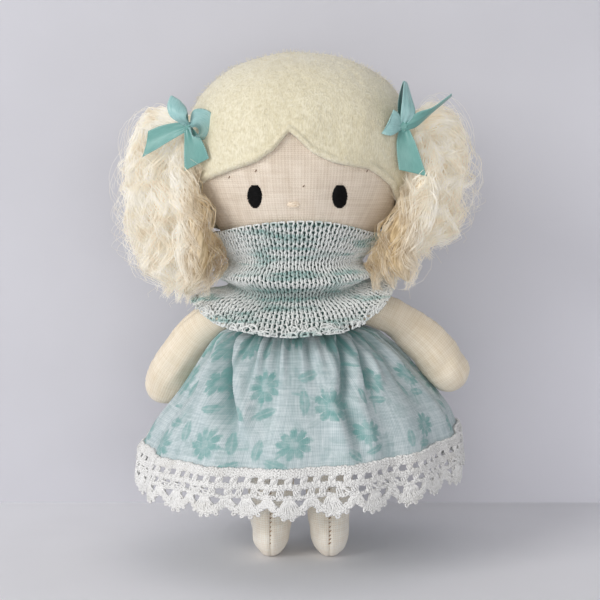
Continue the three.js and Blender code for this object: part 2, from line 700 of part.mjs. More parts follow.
// Hair, ties and bows
[
  [1, 'left', leftPigtailHeights, leftBowLoops, leftBowTails],
  [-1, 'right', rightPigtailHeights, rightBowLoops, rightBowTails],
].forEach(([side, name, heights, loops, tails]) => {
  const route = pigtailRoute(side, heights);
  addPiece(`${name}_pigtail`, 'mohair', pigtailSolid(route));
  const tieRadius = pigtailShares[1][1] * pigtailRadius + gap + tieCord;
  const tie = addPiece(
    `${name}_hair_tie`,
    'elastic',
    new THREE.TorusGeometry(tieRadius, tieCord, tieSides, pigtailSides),
  );
  tie.position.copy(route.getPointAt(tieShare));
  tie.quaternion.setFromUnitVectors(new THREE.Vector3(0, 0, 1), route.getTangentAt(tieShare));
  const bow = addPiece(`${name}_bow`, 'satin', bowSolid(side, loops, tails));
  bow.position.set(side * bowX, bowY, bowHeight);
  bow.rotation.z = side * bowTurn;
});

// Torso and the thread through the shoulders
const seats = torsoSeats();
const threadEnd = shoulderX - shoulderRadius - gap;
const threadBore = rodAlongX(threadRadius + gap, shoulderX, 0, shoulderHeight);
const [torsoFront, torsoBack] = shellHalves(torsoForm(0), torsoForm(-linen), 1);
addPiece('torso_front_panel', 'linen', torsoFront.subtract(seats).subtract(threadBore));
addPiece('torso_back_panel', 'linen', torsoBack.subtract(seats).subtract(threadBore));
addPiece('torso_stuffing', 'stuffing', torsoForm(-linen - gap).subtract(seats).subtract(threadBore));
addPiece('arm_thread', 'creamThread', rodAlongX(threadRadius, threadEnd, 0, shoulderHeight));

// Arms, each made in its own group that swings about the thread
[
  [1, 'left', leftArmX, leftArmHeights, leftArmSwing],
  [-1, 'right', rightArmX, rightArmHeights, rightArmSwing],
].forEach(([side, name, xs, heights, swing]) => {
  const route = armRoute(side, xs, heights);
  const radii = armRadii(route);
  const arm = new THREE.Group();
  arm.position.z = shoulderHeight;
  arm.rotation.x = swing;
  doll.add(arm);
  const skins = shellHalves(
    limbSolid(route, radii, armSides, 0),
    limbSolid(route, radii, armSides, -linen),
    1,
  );
  const stuffing = limbSolid(route, radii, armSides, -linen - gap);
  [['front_panel', 'linen', skins[0]], ['back_panel', 'linen', skins[1]], ['stuffing', 'stuffing', stuffing]]
    .forEach(([part, look, solid]) => {
      const piece = addPiece(`${name}_arm_${part}`, look, solid);
      piece.geometry.translate(0, 0, -shoulderHeight);
      arm.add(piece);
    });
});

// Legs, with the soles cut flat at the floor
[[1, 'left'], [-1, 'right']].forEach(([side, name]) => {
  const seamX = side * hipX;
  const floor = halfSpace(2, 1, 0);
  const shell = legForm(side, 0).subtract(legForm(side, -linen)).intersect(floor);
  addPiece(`${name}_leg_inner_panel`, 'linen', shell.intersect(halfSpace(0, -side, seamX - side * gap / 2)));
  addPiece(`${name}_leg_outer_panel`, 'linen', shell.intersect(halfSpace(0, side, seamX + side * gap / 2)));
  const stuffing = legForm(side, -linen - gap).intersect(halfSpace(2, 1, linen + gap));
  addPiece(`${name}_leg_stuffing`, 'stuffing', stuffing);
});

// Dress and cowl
const elasticTop = skirtTop - gap;
const elasticHalfWidth = gatherHalfWidth - skirtCloth - gap - elasticThickness;
const elasticHalfDepth = gatherHalfDepth - skirtCloth - gap - elasticThickness;
addPiece('skirt', 'cotton', skirtGeometry());
addPiece('waist_elastic', 'elastic', bandGeometry(
  elasticSides,
  elasticHalfWidth,
  elasticHalfDepth,
  elasticThickness,
  elasticTop,
  elasticTop - elasticHeight,
));
addPiece('lace_hem', 'lace', laceGeometry());
addPiece('cowl', 'knit', cowlGeometry());

export default doll;
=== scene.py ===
# %% [markdown]
# # A linen rag doll with felt hair, a knitted cowl and a lace-hemmed skirt
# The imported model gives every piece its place. Each soft piece is built again here as the cloth, yarn,
# thread or hair that it really is, and rides on the same body as the solid that it stands for.

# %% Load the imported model
import math
from functools import partialmethod

import bmesh
import bpy
import numpy as np
from mathutils import Matrix, Vector


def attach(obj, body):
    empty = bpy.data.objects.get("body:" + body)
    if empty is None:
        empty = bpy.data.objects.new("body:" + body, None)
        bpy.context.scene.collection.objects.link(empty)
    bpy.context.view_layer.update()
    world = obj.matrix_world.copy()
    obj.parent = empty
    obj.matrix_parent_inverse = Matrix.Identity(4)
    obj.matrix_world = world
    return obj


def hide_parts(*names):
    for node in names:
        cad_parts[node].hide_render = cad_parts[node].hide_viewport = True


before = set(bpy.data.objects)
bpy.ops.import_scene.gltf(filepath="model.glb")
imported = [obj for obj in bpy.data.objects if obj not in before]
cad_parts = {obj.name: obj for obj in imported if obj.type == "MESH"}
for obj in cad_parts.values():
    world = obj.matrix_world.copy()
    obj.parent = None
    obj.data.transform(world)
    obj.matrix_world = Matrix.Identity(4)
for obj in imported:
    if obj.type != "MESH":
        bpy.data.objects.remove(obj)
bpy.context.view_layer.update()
scene = bpy.context.scene
MM = 0.001
TURN = 2 * math.pi
CLOTH, COTTON, FELT = 0.6, 0.35, 1.1  # how thick linen, printed cotton and felt are, in mm
# the dark inner layer of the cowl paints the shade in the gaps between its stitches
SHADE_LAYER, BAND = 0.3, 0.6  # and the inner layer of the cowl and the elastic

# %% [markdown]
# ## Camera and light
# The photograph looks slightly down on a doll of 150 mm that fills the frame, from about 0.4 m away. A long
# lens keeps the head and the feet in proportion. A pale wall stands close behind. The light is a wide soft
# window-like panel from the upper left, a weaker panel low in front and a plain grey world.


# %% Camera
def added(name, data):
    """A new object in the scene."""
    made = bpy.data.objects.new(name, data)
    scene.collection.objects.link(made)
    return made


camera = added("camera", bpy.data.cameras.new("camera"))
camera.data.lens = 84
camera.data.sensor_width = 36
camera.location = (0, -0.4177, 0.1209)
aim = Vector((0, 0, 0.0768)) - camera.location
camera.rotation_euler = aim.to_track_quat("-Z", "Y").to_euler()
scene.camera = camera
scene.view_settings.view_transform = "Standard"


# %% Lamps and world
def panel_lamp(name, place, target, size, power, colour):
    """A square area lamp that looks at a point."""
    lamp = bpy.data.lights.new(name, "AREA")
    lamp.size, lamp.energy, lamp.color = size, power, colour
    holder = added(name, lamp)
    holder.location = place
    way = Vector(target) - Vector(place)
    holder.rotation_euler = way.to_track_quat("-Z", "Y").to_euler()


panel_lamp("key", (-1.1, -0.85, 0.6), (0, 0, 0.07), size=0.75, power=11.9, colour=(1, 0.99, 0.97))
panel_lamp("fill", (0.08, -0.8, 0.02), (0, 0, 0.01), size=0.6, power=2.8, colour=(1, 0.98, 0.95))
world = bpy.data.worlds.new("room")
world.use_nodes = True
background = world.node_tree.nodes["Background"].inputs
background["Color"].default_value, background["Strength"].default_value = (0.98, 0.98, 1, 1), 0.43
scene.world = world

# %% [markdown]
# ## Writing a finish
# A material is a graph of nodes. Wrapping a socket in a small class lets the maths be written as plain
# expressions: every operator adds one Math node. Colours and vectors are mixed by their own nodes, because
# a Math node would turn a colour grey.


# %% Sockets that do arithmetic
class Number:
    """A number in a material. Operators add Math nodes."""

    def __init__(self, finish, socket):
        self.finish, self.socket = finish, socket

    def math(self, operation, *others):
        return self.finish.node("ShaderNodeMath", {"operation": operation}, dict(enumerate((self, *others))))

    def swapped(self, operation, other):
        return self.finish.node("ShaderNodeMath", {"operation": operation}, {0: other, 1: self})

    __add__, __radd__ = partialmethod(math, "ADD"), partialmethod(swapped, "ADD")
    __sub__, __rsub__ = partialmethod(math, "SUBTRACT"), partialmethod(swapped, "SUBTRACT")
    __mul__, __rmul__ = partialmethod(math, "MULTIPLY"), partialmethod(swapped, "MULTIPLY")
    __truediv__, __rtruediv__ = partialmethod(math, "DIVIDE"), partialmethod(swapped, "DIVIDE")
    sin, cos = partialmethod(math, "SINE"), partialmethod(math, "COSINE")
    size, floor = partialmethod(math, "ABSOLUTE"), partialmethod(math, "FLOOR")
    most = partialmethod(math, "MAXIMUM")

    def step(self, low, high):
        """0 below low, 1 above high and a smooth rise between them."""
        inputs = {"Value": self, "From Min": low, "From Max": high}
        return self.finish.node("ShaderNodeMapRange", {"interpolation_type": "SMOOTHSTEP"}, inputs)


class Finish:
    """A procedural material on a Principled shader."""

    def __init__(self, name, roughness=0.9, **constants):
        self.material = bpy.data.materials.new(name)
        self.material.use_nodes = True
        self.tree = self.material.node_tree
        self.shader = self.tree.nodes["Principled BSDF"]
        self.shader.inputs["Roughness"].default_value = roughness
        for socket, value in constants.items():
            self.shader.inputs[socket.replace("_", " ")].default_value = value

    def node(self, kind, settings, inputs, out=0):
        made = self.tree.nodes.new(kind)
        for name, value in settings.items():
            setattr(made, name, value)
        for key, value in inputs.items():
            if isinstance(value, Number):
                self.tree.links.new(value.socket, made.inputs[key])
            else:
                made.inputs[key].default_value = value
        return Number(self, made.outputs[out])

    def place(self):
        """Object coordinates in mm."""
        metres = self.node("ShaderNodeTexCoord", {}, {}, "Object")
        return self.node("ShaderNodeVectorMath", {"operation": "SCALE"}, {0: metres, "Scale": 1000.0})

    def map(self):
        """The piece's own map, in mm along the cloth."""
        return self.node("ShaderNodeUVMap", {"uv_map": "cloth"}, {})

    def own(self, attribute):
        return self.node("ShaderNodeAttribute", {"attribute_name": attribute}, {}, "Fac")

    def parts(self, vector):
        return [self.node("ShaderNodeSeparateXYZ", {}, {0: vector}, axis) for axis in range(3)]

    def joined(self, x, y, z=0.0):
        return self.node("ShaderNodeCombineXYZ", {}, {0: x, 1: y, 2: z})

    def stretched(self, vector, scale):
        return self.node("ShaderNodeVectorMath", {"operation": "MULTIPLY"}, {0: vector, 1: scale})

    def noise(self, vector, size, detail=2.0):
        """Smooth noise from 0 to 1 with features of about that size in mm."""
        return self.node("ShaderNodeTexNoise", {}, {"Vector": vector, "Scale": 1 / size, "Detail": detail})

    def mix(self, low, high, share):
        colours = [c if isinstance(c, Number) else (*c, 1) for c in (low, high)]
        settings = {"data_type": "RGBA", "clamp_factor": True}
        return self.node("ShaderNodeMix", settings, {0: share, 6: colours[0], 7: colours[1]}, 2)

    def feed(self, label, value):
        """Joins a value to an input of the shader."""
        self.tree.links.new(value.socket, self.shader.inputs[label])

    colour, rough = partialmethod(feed, "Base Color"), partialmethod(feed, "Roughness")

    def relief(self, height, depth):
        """Height from 0 to 1 as a bump of that many mm."""
        inputs = {"Height": height, "Distance": depth * MM, "Strength": 1.0}
        self.feed("Normal", self.node("ShaderNodeBump", {}, inputs))


def shade(red, green, blue):
    """A screen colour from 0 to 255 as the linear colour that a shader takes."""
    return tuple(((value / 255 + 0.055) / 1.055) ** 2.4 for value in (red, green, blue))


def spun(name, roughness, dark, light, size, steps, stretch=(1, 1, 1), **constants):
    """A finish for thread and fibre: two tones in streaks of about that size in mm."""
    finish = Finish(name, roughness, **constants)
    streaks = finish.noise(finish.stretched(finish.place(), stretch), size)
    finish.colour(finish.mix(shade(*dark), shade(*light), streaks.step(*steps)))
    return finish


# %% [markdown]
# ## Cloth surfaces
# Most pieces are lofts: rows of points that follow the solids' named sizes, joined by smooth curves. Every
# surface gets a map in millimetres, so that a weave has the same threads everywhere.


# %% Curves, noise and grids
def through(places, values):
    """A smooth function through values at places: cubic pieces with slopes from the neighbours."""
    places, values = np.array(places, float), np.array(values, float)
    slopes = np.gradient(values, places, axis=0)

    def at(place):
        place = np.clip(np.asarray(place, float), places[0], places[-1])
        index = np.clip(np.searchsorted(places, place) - 1, 0, len(places) - 2)
        width = places[index + 1] - places[index]
        share = (place - places[index]) / width
        if values.ndim > 1:
            width, share = width[..., None], share[..., None]
        low, high = values[index], values[index + 1]
        first, last = slopes[index] * width, slopes[index + 1] * width
        turned = share * share * (3 - 2 * share)
        bend = share * (1 - share)
        return low + (high - low) * turned + bend * (first * (1 - share) - last * share)

    return at


def ripple(points, size, seed, waves=14):
    """Smooth seeded noise between about -1 and 1, with features of that size in mm."""
    chance = np.random.default_rng(seed)
    ways = chance.normal(size=(waves, 3))
    ways *= TURN / size * chance.uniform(0.6, 1.5, (waves, 1)) / np.linalg.norm(ways, axis=1)[:, None]
    phases = chance.uniform(0, TURN, waves)
    return np.sin(points @ ways.T + phases).sum(-1) / waves ** 0.5


def unit(vectors):
    return vectors / np.maximum(np.linalg.norm(vectors, axis=-1, keepdims=True), 1e-9)


def lengths_along(points):
    """The running length at each point of a line."""
    return np.concatenate([[0], np.cumsum(np.linalg.norm(np.diff(points, axis=0), axis=1))])


def point_values(mesh, label, values):
    """Keeps one value on each point of a mesh for its finish."""
    layer = mesh.attributes.new(label, "FLOAT", "POINT")
    layer.data.foreach_set("value", np.asarray(values, np.float32).ravel())


def piece_from(name, points, faces, corner_map=None):
    """A smooth mesh object from points in mm."""
    mesh = bpy.data.meshes.new(name)
    mesh.from_pydata((np.asarray(points) * MM).tolist(), [], faces.tolist())
    if corner_map is not None:
        layer = mesh.uv_layers.new(name="cloth")
        layer.data.foreach_set("uv", np.asarray(corner_map, np.float32).ravel())
    mesh.shade_smooth()
    return added(name, mesh)


def grid_piece(name, points, cloth_map, wrap, flip=False, merge=True):
    """A surface through rows of points. The map has one more column than a ring has points."""
    rows, columns = points.shape[:2]
    spans = columns if wrap else columns - 1
    row, column = np.meshgrid(np.arange(rows - 1), np.arange(spans), indexing="ij")
    beside = (column + 1) % columns
    corners = [row * columns + column, row * columns + beside]
    corners += [(row + 1) * columns + beside, (row + 1) * columns + column]
    places = [cloth_map[row, column], cloth_map[row, column + 1]]
    places += [cloth_map[row + 1, column + 1], cloth_map[row + 1, column]]
    if flip:
        corners.reverse()
        places.reverse()
    faces = np.stack(corners, -1).reshape(-1, 4)
    corner_map = np.stack(places, 2).reshape(-1, 2)
    piece = piece_from(name, points.reshape(-1, 3), faces, corner_map)
    if merge:
        shape = bmesh.new()
        shape.from_mesh(piece.data)
        bmesh.ops.remove_doubles(shape, verts=shape.verts, dist=0.02 * MM)
        shape.to_mesh(piece.data)
        shape.free()
    return piece


def closed_piece(name, points, **settings):
    """A surface whose rows are closed rings."""
    return grid_piece(name, points, cloth_map_of(points, True), wrap=True, **settings)


def open_piece(name, points, flip=False):
    """A surface whose rows are open, as a panel's are."""
    return grid_piece(name, points, cloth_map_of(points, False), wrap=False, flip=flip)


def cloth_map_of(points, wrap):
    """The map of a grid: mm across each middle row and mm down each column."""
    across = np.concatenate([points, points[:, :1]], 1) if wrap else points
    widths = np.linalg.norm(np.diff(across, axis=1), axis=-1).mean(0)
    heights = np.linalg.norm(np.diff(across, axis=0), axis=-1).mean(1)
    sums = [np.concatenate([[0], np.cumsum(steps)]) for steps in (widths, heights)]
    return np.stack(np.meshgrid(*sums), -1)


def thicken(piece, thickness):
    """Gives a surface its cloth thickness, inwards."""
    solid = piece.modifiers.new("cloth", "SOLIDIFY")
    solid.thickness, solid.offset = thickness * MM, -1
    return piece


def finished(piece, finish, body, slot, *nodes):
    """Gives a piece its material and its body, and hides the solids that it stands for. The slot is not used.
    """
    piece.data.materials.clear()
    piece.data.materials.append(finish.material)
    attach(piece, body)
    if nodes:
        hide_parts(*nodes)
    print(piece.name, len(piece.data.polygons), "faces, on", body)
    return piece


# %% [markdown]
# ## Threads
# Yarn, lace, hair and stitches are all threads: a line with a round section. One Geometry Nodes tree turns
# any set of drawn lines into tubes, so the lines can be drawn by short formulas and share the same tree.
# Each point may carry a width share. The result is turned into a plain mesh.


# %% The tree that turns lines into threads
def new_tree(name, inputs):
    """An empty Geometry Nodes tree with named inputs, and a function that adds its nodes."""
    tree = bpy.data.node_groups.new(name, "GeometryNodeTree")
    tree.interface.new_socket("Geometry", in_out="INPUT", socket_type="NodeSocketGeometry")
    for label, kind in inputs:
        tree.interface.new_socket(label, in_out="INPUT", socket_type="NodeSocket" + kind)
    tree.interface.new_socket("Geometry", in_out="OUTPUT", socket_type="NodeSocketGeometry")

    def add(kind, settings=None, **inputs):
        made = tree.nodes.new(kind)
        for label, value in (settings or {}).items():
            setattr(made, label, value)
        for label, value in inputs.items():
            words = label.replace("_", " ")
            named = {s.name: s for s in reversed(made.inputs)}
            socket = {**named, **{s.identifier: s for s in made.inputs}}.get(label, named.get(words))
            if isinstance(value, bpy.types.NodeSocket):
                tree.links.new(value, socket)
            else:
                socket.default_value = value
        return made

    return tree, add


def dress(add, shape, finish):
    """The last nodes of a tree: smooth real geometry in a material."""
    smooth = add("GeometryNodeSetShadeSmooth", Geometry=shape)
    real = add("GeometryNodeRealizeInstances", Geometry=smooth.outputs[0])
    dressed = add("GeometryNodeSetMaterial", Geometry=real.outputs[0], Material=finish)
    add("NodeGroupOutput", Geometry=dressed.outputs[0])


def thread_tree():
    sizes = [("Thread Radius", "Float"), ("Sides", "Int"), ("Thread Finish", "Material")]
    tree, add = new_tree("threads_on_lines", sizes)
    given = add("NodeGroupInput").outputs
    lines = add("GeometryNodeMeshToCurve", Mesh=given["Geometry"])
    width = add("GeometryNodeInputNamedAttribute", {"data_type": "FLOAT"}, Name="width")
    size = add("ShaderNodeMath", {"operation": "MULTIPLY"}, Value=width.outputs["Attribute"],
               Value_001=given["Thread Radius"])
    ring = add("GeometryNodeCurvePrimitiveCircle", Resolution=given["Sides"], Radius=1.0)
    tube = add("GeometryNodeCurveToMesh", Curve=lines.outputs[0], Profile_Curve=ring.outputs[0])
    tree.links.new(size.outputs[0], tube.inputs["Scale"])
    tube.inputs["Fill Caps"].default_value = True
    dress(add, tube.outputs[0], given["Thread Finish"])
    return tree


THREADS = thread_tree()


# %% Lines drawn in mm become thread meshes
def run_tree(piece, tree, values):
    """Applies a Geometry Nodes tree to an object and keeps the result as a plain mesh."""
    modifier = piece.modifiers.new("tree", "NODES")
    modifier.node_group = tree
    for item in tree.interface.items_tree:
        if item.in_out == "INPUT" and item.name in values:
            modifier[item.identifier] = values[item.name]
    bpy.context.view_layer.update()
    made = piece.evaluated_get(bpy.context.evaluated_depsgraph_get())
    mesh = bpy.data.meshes.new_from_object(made)
    piece.modifiers.clear()
    piece.data = mesh
    return piece


def lines_piece(name, lines, closed, extras):
    """An object of bare edges through lines of points in mm, with values on its points."""
    counts = np.array([len(line) for line in lines])
    starts = np.concatenate([[0], np.cumsum(counts)[:-1]])
    total = int(counts.sum())
    first = np.arange(total)
    ends = starts + counts - 1
    second = first + 1
    second[ends] = starts if closed else -1
    edges = np.stack([first, second], -1)[second >= 0]
    mesh = bpy.data.meshes.new(name)
    mesh.vertices.add(total)
    mesh.vertices.foreach_set("co", (np.concatenate(lines) * MM).astype(np.float32).ravel())
    mesh.edges.add(len(edges))
    mesh.edges.foreach_set("vertices", edges.astype(np.int32).ravel())
    for label, values in extras.items():
        point_values(mesh, label, np.concatenate(values))
    return added(name, mesh)


def threads(name, lines, radius, finish, sides=5, closed=False, widths=None, **extras):
    """Threads of a radius in mm along lines of points."""
    lines = [np.asarray(line, float) for line in lines]
    widths = widths if widths is not None else [np.ones(len(line)) for line in lines]
    piece = lines_piece(name, lines, closed, {"width": widths, **extras})
    values = {"Thread Radius": radius * MM, "Sides": sides, "Thread Finish": finish.material}
    return run_tree(piece, THREADS, values)


# %% [markdown]
# ## Linen
# The skin is unbleached linen with about 16 threads per cm. A plain weave is two sets of ridges that pass
# over and under each other by turns. Slubs make some threads thicker and darker, so noise that is stretched
# along each set of threads varies both the colour and the height.


# %% Plain weave and the linen finish
def weave(finish, spot, pitch, slub=0.5):
    """Height of a plain weave from 0 to 1, and the uneven thickness of its threads."""
    u, v, _ = finish.parts(spot)
    across, along = u * (math.pi / pitch), v * (math.pi / pitch)
    over = across.sin() * along.sin() * 0.4
    warp, weft = across.sin().size(), along.sin().size()
    height = (warp * (over + 0.6)).most(weft * (0.6 - over))
    wide = finish.noise(finish.stretched(spot, (1 / pitch, 0.09 / pitch, 1)), 1.6)
    tall = finish.noise(finish.stretched(spot, (0.09 / pitch, 1 / pitch, 1)), 1.6)
    uneven = (wide + tall) * 0.5
    return height * (1 - slub) + uneven * slub, uneven


LINEN_PITCH, LEG_PITCH = 0.58, 0.64  # mm from thread to thread


def linen_finish(name, pitch, light, dark):
    linen = Finish(name, 0.92, Sheen_Weight=0.25, Sheen_Roughness=0.6)
    height, uneven = weave(linen, linen.map(), pitch, 0.3)
    cloud = linen.noise(linen.place(), 9.0, 3.0)
    share = uneven.step(0.3, 0.7) * 0.38 + height.step(0.2, 0.75) * 0.4 + cloud.step(0.3, 0.7) * 0.22
    linen.colour(linen.mix(shade(*dark), shade(*light), share))
    linen.relief(height, 0.16)
    return linen


face_linen = linen_finish("linen_face", LINEN_PITCH, (236, 224, 208), (198, 180, 159))
limb_linen = linen_finish("linen_limbs", LINEN_PITCH, (245, 235, 217), (215, 197, 167))
# the legs take a lighter copy of the linen: painted light that lifts the shade under the skirt
lit_leg_linen = linen_finish("linen_legs_painted_light", LEG_PITCH, (255, 252, 243), (238, 222, 200))

# %% [markdown]
# ## Head
# The head is two linen panels round a firm ball of wool. It is wider than deep and tapers to the chin. The
# profile is the solid's own list of widths, drawn as a smooth curve over a sphere, so that both poles close.

# %% Head surface
HEAD_HALF = (32.7, 27.2, 33.25)
HEAD_MIDDLE, HEAD_TUCK = 115.25, 0.7
HEAD_CENTRE = np.array([0, 0, HEAD_MIDDLE])
HEAD_SHARES = np.array([
    [-0.95, 0.26], [-0.8, 0.51], [-0.6, 0.675], [-0.34, 0.84], [-0.1, 0.95],
    [0.2, 1], [0.5, 0.94], [0.74, 0.765], [0.91, 0.49],
])
fullness = HEAD_SHARES[:, 1] / np.sqrt(1 - HEAD_SHARES[:, 0] ** 2)
head_fullness = through([-1, *HEAD_SHARES[:, 0], 1], [fullness[0], *fullness, fullness[-1]])


def head_at(angle, tilt, grow=0.0):
    """Points on the head at an angle round it and a tilt from its bottom to its top pole."""
    rise = np.sin(tilt)
    width = head_fullness(rise) * np.cos(tilt)
    x = (HEAD_HALF[0] + grow) * width * np.cos(angle)
    y = (HEAD_HALF[1] + grow) * width * np.sin(angle)
    z = HEAD_MIDDLE + rise * (HEAD_HALF[2] + grow) + 0 * x
    return np.stack([x, y, z], -1)


def half_head(name, first, last):
    """One panel of the head, which turns in along the seam at both of its edges."""
    angle, tilt = np.meshgrid(np.linspace(first, last, 97), np.linspace(-math.pi / 2, math.pi / 2, 81))
    points = head_at(angle, tilt)
    outward = unit(points - HEAD_CENTRE)
    uneven = 0.12 * ripple(points, 14, 3) + 0.05 * ripple(points, 5, 4)
    seam = HEAD_TUCK * np.exp(-(points[..., 1] / 1.1) ** 2)
    points = points + outward * (uneven - seam)[..., None]
    return open_piece(name, points)


for name, first, last, nodes in [
    ("face", math.pi, TURN, ("face_panel",)),
    ("head_back", 0, math.pi, ("head_back_panel", "head_stuffing")),
]:
    panel = thicken(half_head(name, first, last), CLOTH)
    finished(panel, face_linen, "head", "linen", *nodes)


# %% [markdown]
# ## Eyes and nose
# Both are satin stitch: rows of thread laid side by side, each a low arch that goes into the cloth at both
# ends. The eyes are black ovals, higher than wide. The nose is three short cream stitches.


# %% Satin stitches on the face
def face_front(x, z, grow):
    """The point on the front of the face at a place in the front view."""
    tilt = np.linspace(-1.4, 1.4, 400)
    tilt = np.interp(z, head_at(0, tilt, grow)[:, 2], tilt)
    width = (HEAD_HALF[0] + grow) * head_fullness(np.sin(tilt)) * np.cos(tilt)
    return head_at(TURN - np.arccos(np.clip(x / width, -1, 1)), tilt, grow)


def satin_patch(centre, half_width, half_height, pitch, rise, seed):
    """Arched threads across an oval on the face."""
    chance = np.random.default_rng(seed)
    lines = []
    for height in np.arange(-half_height + pitch / 2, half_height, pitch):
        reach = half_width * math.sqrt(max(0.05, 1 - (height / half_height) ** 2))
        reach += chance.uniform(-0.07, 0.07)
        slant = chance.uniform(-0.05, 0.05)
        share = np.linspace(-1, 1, 11)
        x = centre[0] + reach * share
        z = centre[1] + height + slant * share
        arch = rise * (1 - np.abs(share) ** 3) - 0.22
        lines.append(np.stack([face_front(a, b, c) for a, b, c in zip(x, z, arch)]))
    return lines


black_thread = spun("black_thread", 0.7, (3, 3, 4), (20, 19, 20), size=0.6, steps=(0.35, 0.75),
                    stretch=(0.6, 1, 3), Specular_IOR_Level=0.15)
cream_thread = spun("cream_thread", 0.55, (205, 180, 150), (246, 232, 212), size=0.5, steps=(0.3, 0.6),
                    stretch=(0.5, 1, 3), Sheen_Weight=0.3)
brown_thread = spun("brown_thread", 0.85, (92, 66, 44), (132, 100, 70), size=0.4, steps=(0.35, 0.65))

for name, x, seed in [("left", 11.2, 6), ("right", -12.7, 4)]:
    lines = satin_patch((x, 108.5), half_width=2.1, half_height=3.3, pitch=0.34, rise=0.55, seed=seed)
    eye = threads(f"{name}_eye_stitches", lines, 0.23, black_thread, sides=6)
    finished(eye, black_thread, "head", "black_thread", f"{name}_eye")

# a few brown stitches show at the hairline
specks = []
for x, z, reach in [(-20.0, 113.9, 0.35), (-12.4, 115.7, 0.3), (18.9, 115.6, 0.3), (1.0, 111.5, 0.2)]:
    share = np.linspace(-1, 1, 7)
    arch = 0.28 * (1 - share ** 2) - 0.1
    specks.append(np.stack([face_front(x + 0.2 * s, z + reach * s, a) for s, a in zip(share, arch)]))
marks = threads("hairline_stitches", specks, 0.13, brown_thread, sides=6)
finished(marks, brown_thread, "head", "cream_thread")
lines = satin_patch((-1.7, 106.2), half_width=1.85, half_height=0.75, pitch=0.36, rise=0.5, seed=9)
nose = threads("nose_stitches", lines, 0.25, cream_thread, sides=6)
finished(nose, cream_thread, "head", "cream_thread", "nose")

# %% [markdown]
# ## Felt hair cap
# The hair is two pieces of thick wool felt, stretched over the head. The front one parts above the forehead
# and its edge is turned and stitched, so it stands up as a soft roll. Each column of the surface starts
# exactly on the hairline and runs to the crown. Fine fibres stand off the felt: Geometry Nodes scatter
# thousands of short curved hairs over it.

# %% Where the felt ends
FELT_OUT = 1.5
HAIRLINE = np.array([
    (-60, 106), (-36, 106), (-27.8, 112.6), (-19.2, 115.9), (-12.4, 118.2), (-7.4, 121.6), (-3, 126.8),
    (0.3, 123.8), (3.7, 120.7), (9.6, 118), (15, 117), (19.7, 116.2), (23.3, 114), (26.4, 111.3),
    (28.4, 106.5), (29, 100), (60, 100),
])
NAPE_HEIGHT, NAPE_SLOPE = 98.5, -0.17


def felt_foot(angle, front):
    """The tilt at which each column of the felt starts, found from the crown downwards."""
    tilts = np.linspace(math.pi / 2, -0.9, 700)
    points = head_at(angle[:, None], tilts[None, :], FELT_OUT)
    if front:
        limit = np.interp(points[..., 0], *HAIRLINE.T)
    else:
        limit = NAPE_HEIGHT + NAPE_SLOPE * points[..., 1]
    below = points[..., 2] < limit
    first = np.where(below.any(1), below.argmax(1), len(tilts) - 1)
    return tilts[first]


def felt_half(name, first, last, front, columns=169, rows=52):
    """One piece of felt, from its turned edge to the crown."""
    angle = np.linspace(first, last, columns)
    foot = felt_foot(angle, front)
    share = (np.linspace(0, 1, rows) ** 1.35)[:, None]
    tilt = foot + (math.pi / 2 - foot) * share
    points = head_at(angle[None, :] + 0 * tilt, tilt, FELT_OUT)
    step = np.linalg.norm(np.diff(points, axis=0), axis=-1)
    rise = np.concatenate([np.zeros((1, columns)), np.cumsum(step, 0)])
    outward = unit(points - HEAD_CENTRE)
    roll = 0.5 * np.exp(-((rise - 1.1) / 0.75) ** 2) - 0.75 * np.exp(-((rise) / 0.3) ** 2)
    dimple = -0.28 * np.exp(-((rise - 2.5) / 0.5) ** 2)
    seam = -0.55 * np.exp(-(points[..., 1] / 0.9) ** 2)
    uneven = 0.22 * ripple(points, 17, 21) + 0.07 * ripple(points, 4, 22)
    points = points + outward * (roll + dimple + seam + uneven)[..., None]
    return open_piece(name, points)


felt = Finish("wool_felt", 1.0, Sheen_Weight=0.5, Sheen_Roughness=0.7)
spot = felt.place()
clumps = felt.noise(spot, 1.5, 5.0)
wisps = felt.noise(felt.stretched(spot, (1.0, 1.0, 0.35)), 0.45, 4.0)
cloud = felt.noise(spot, 12.0, 3.0)
pale = felt.mix(shade(215, 206, 174), shade(235, 228, 203), wisps.step(0.3, 0.72))
felt.colour(felt.mix(shade(206, 195, 160), pale, clumps.step(0.2, 0.5) * 0.6 + cloud.step(0.3, 0.6) * 0.4))
felt.relief(clumps * 0.5 + wisps * 0.5, 0.5)

caps = []
for name, first, last, node in [
    ("felt_front", math.pi, TURN, "hair_cap_front"),
    ("felt_back", 0, math.pi, "hair_cap_back"),
]:
    cap = thicken(felt_half(name, first, last, name == "felt_front"), FELT)
    caps.append(finished(cap, felt, "head", "felt", node))


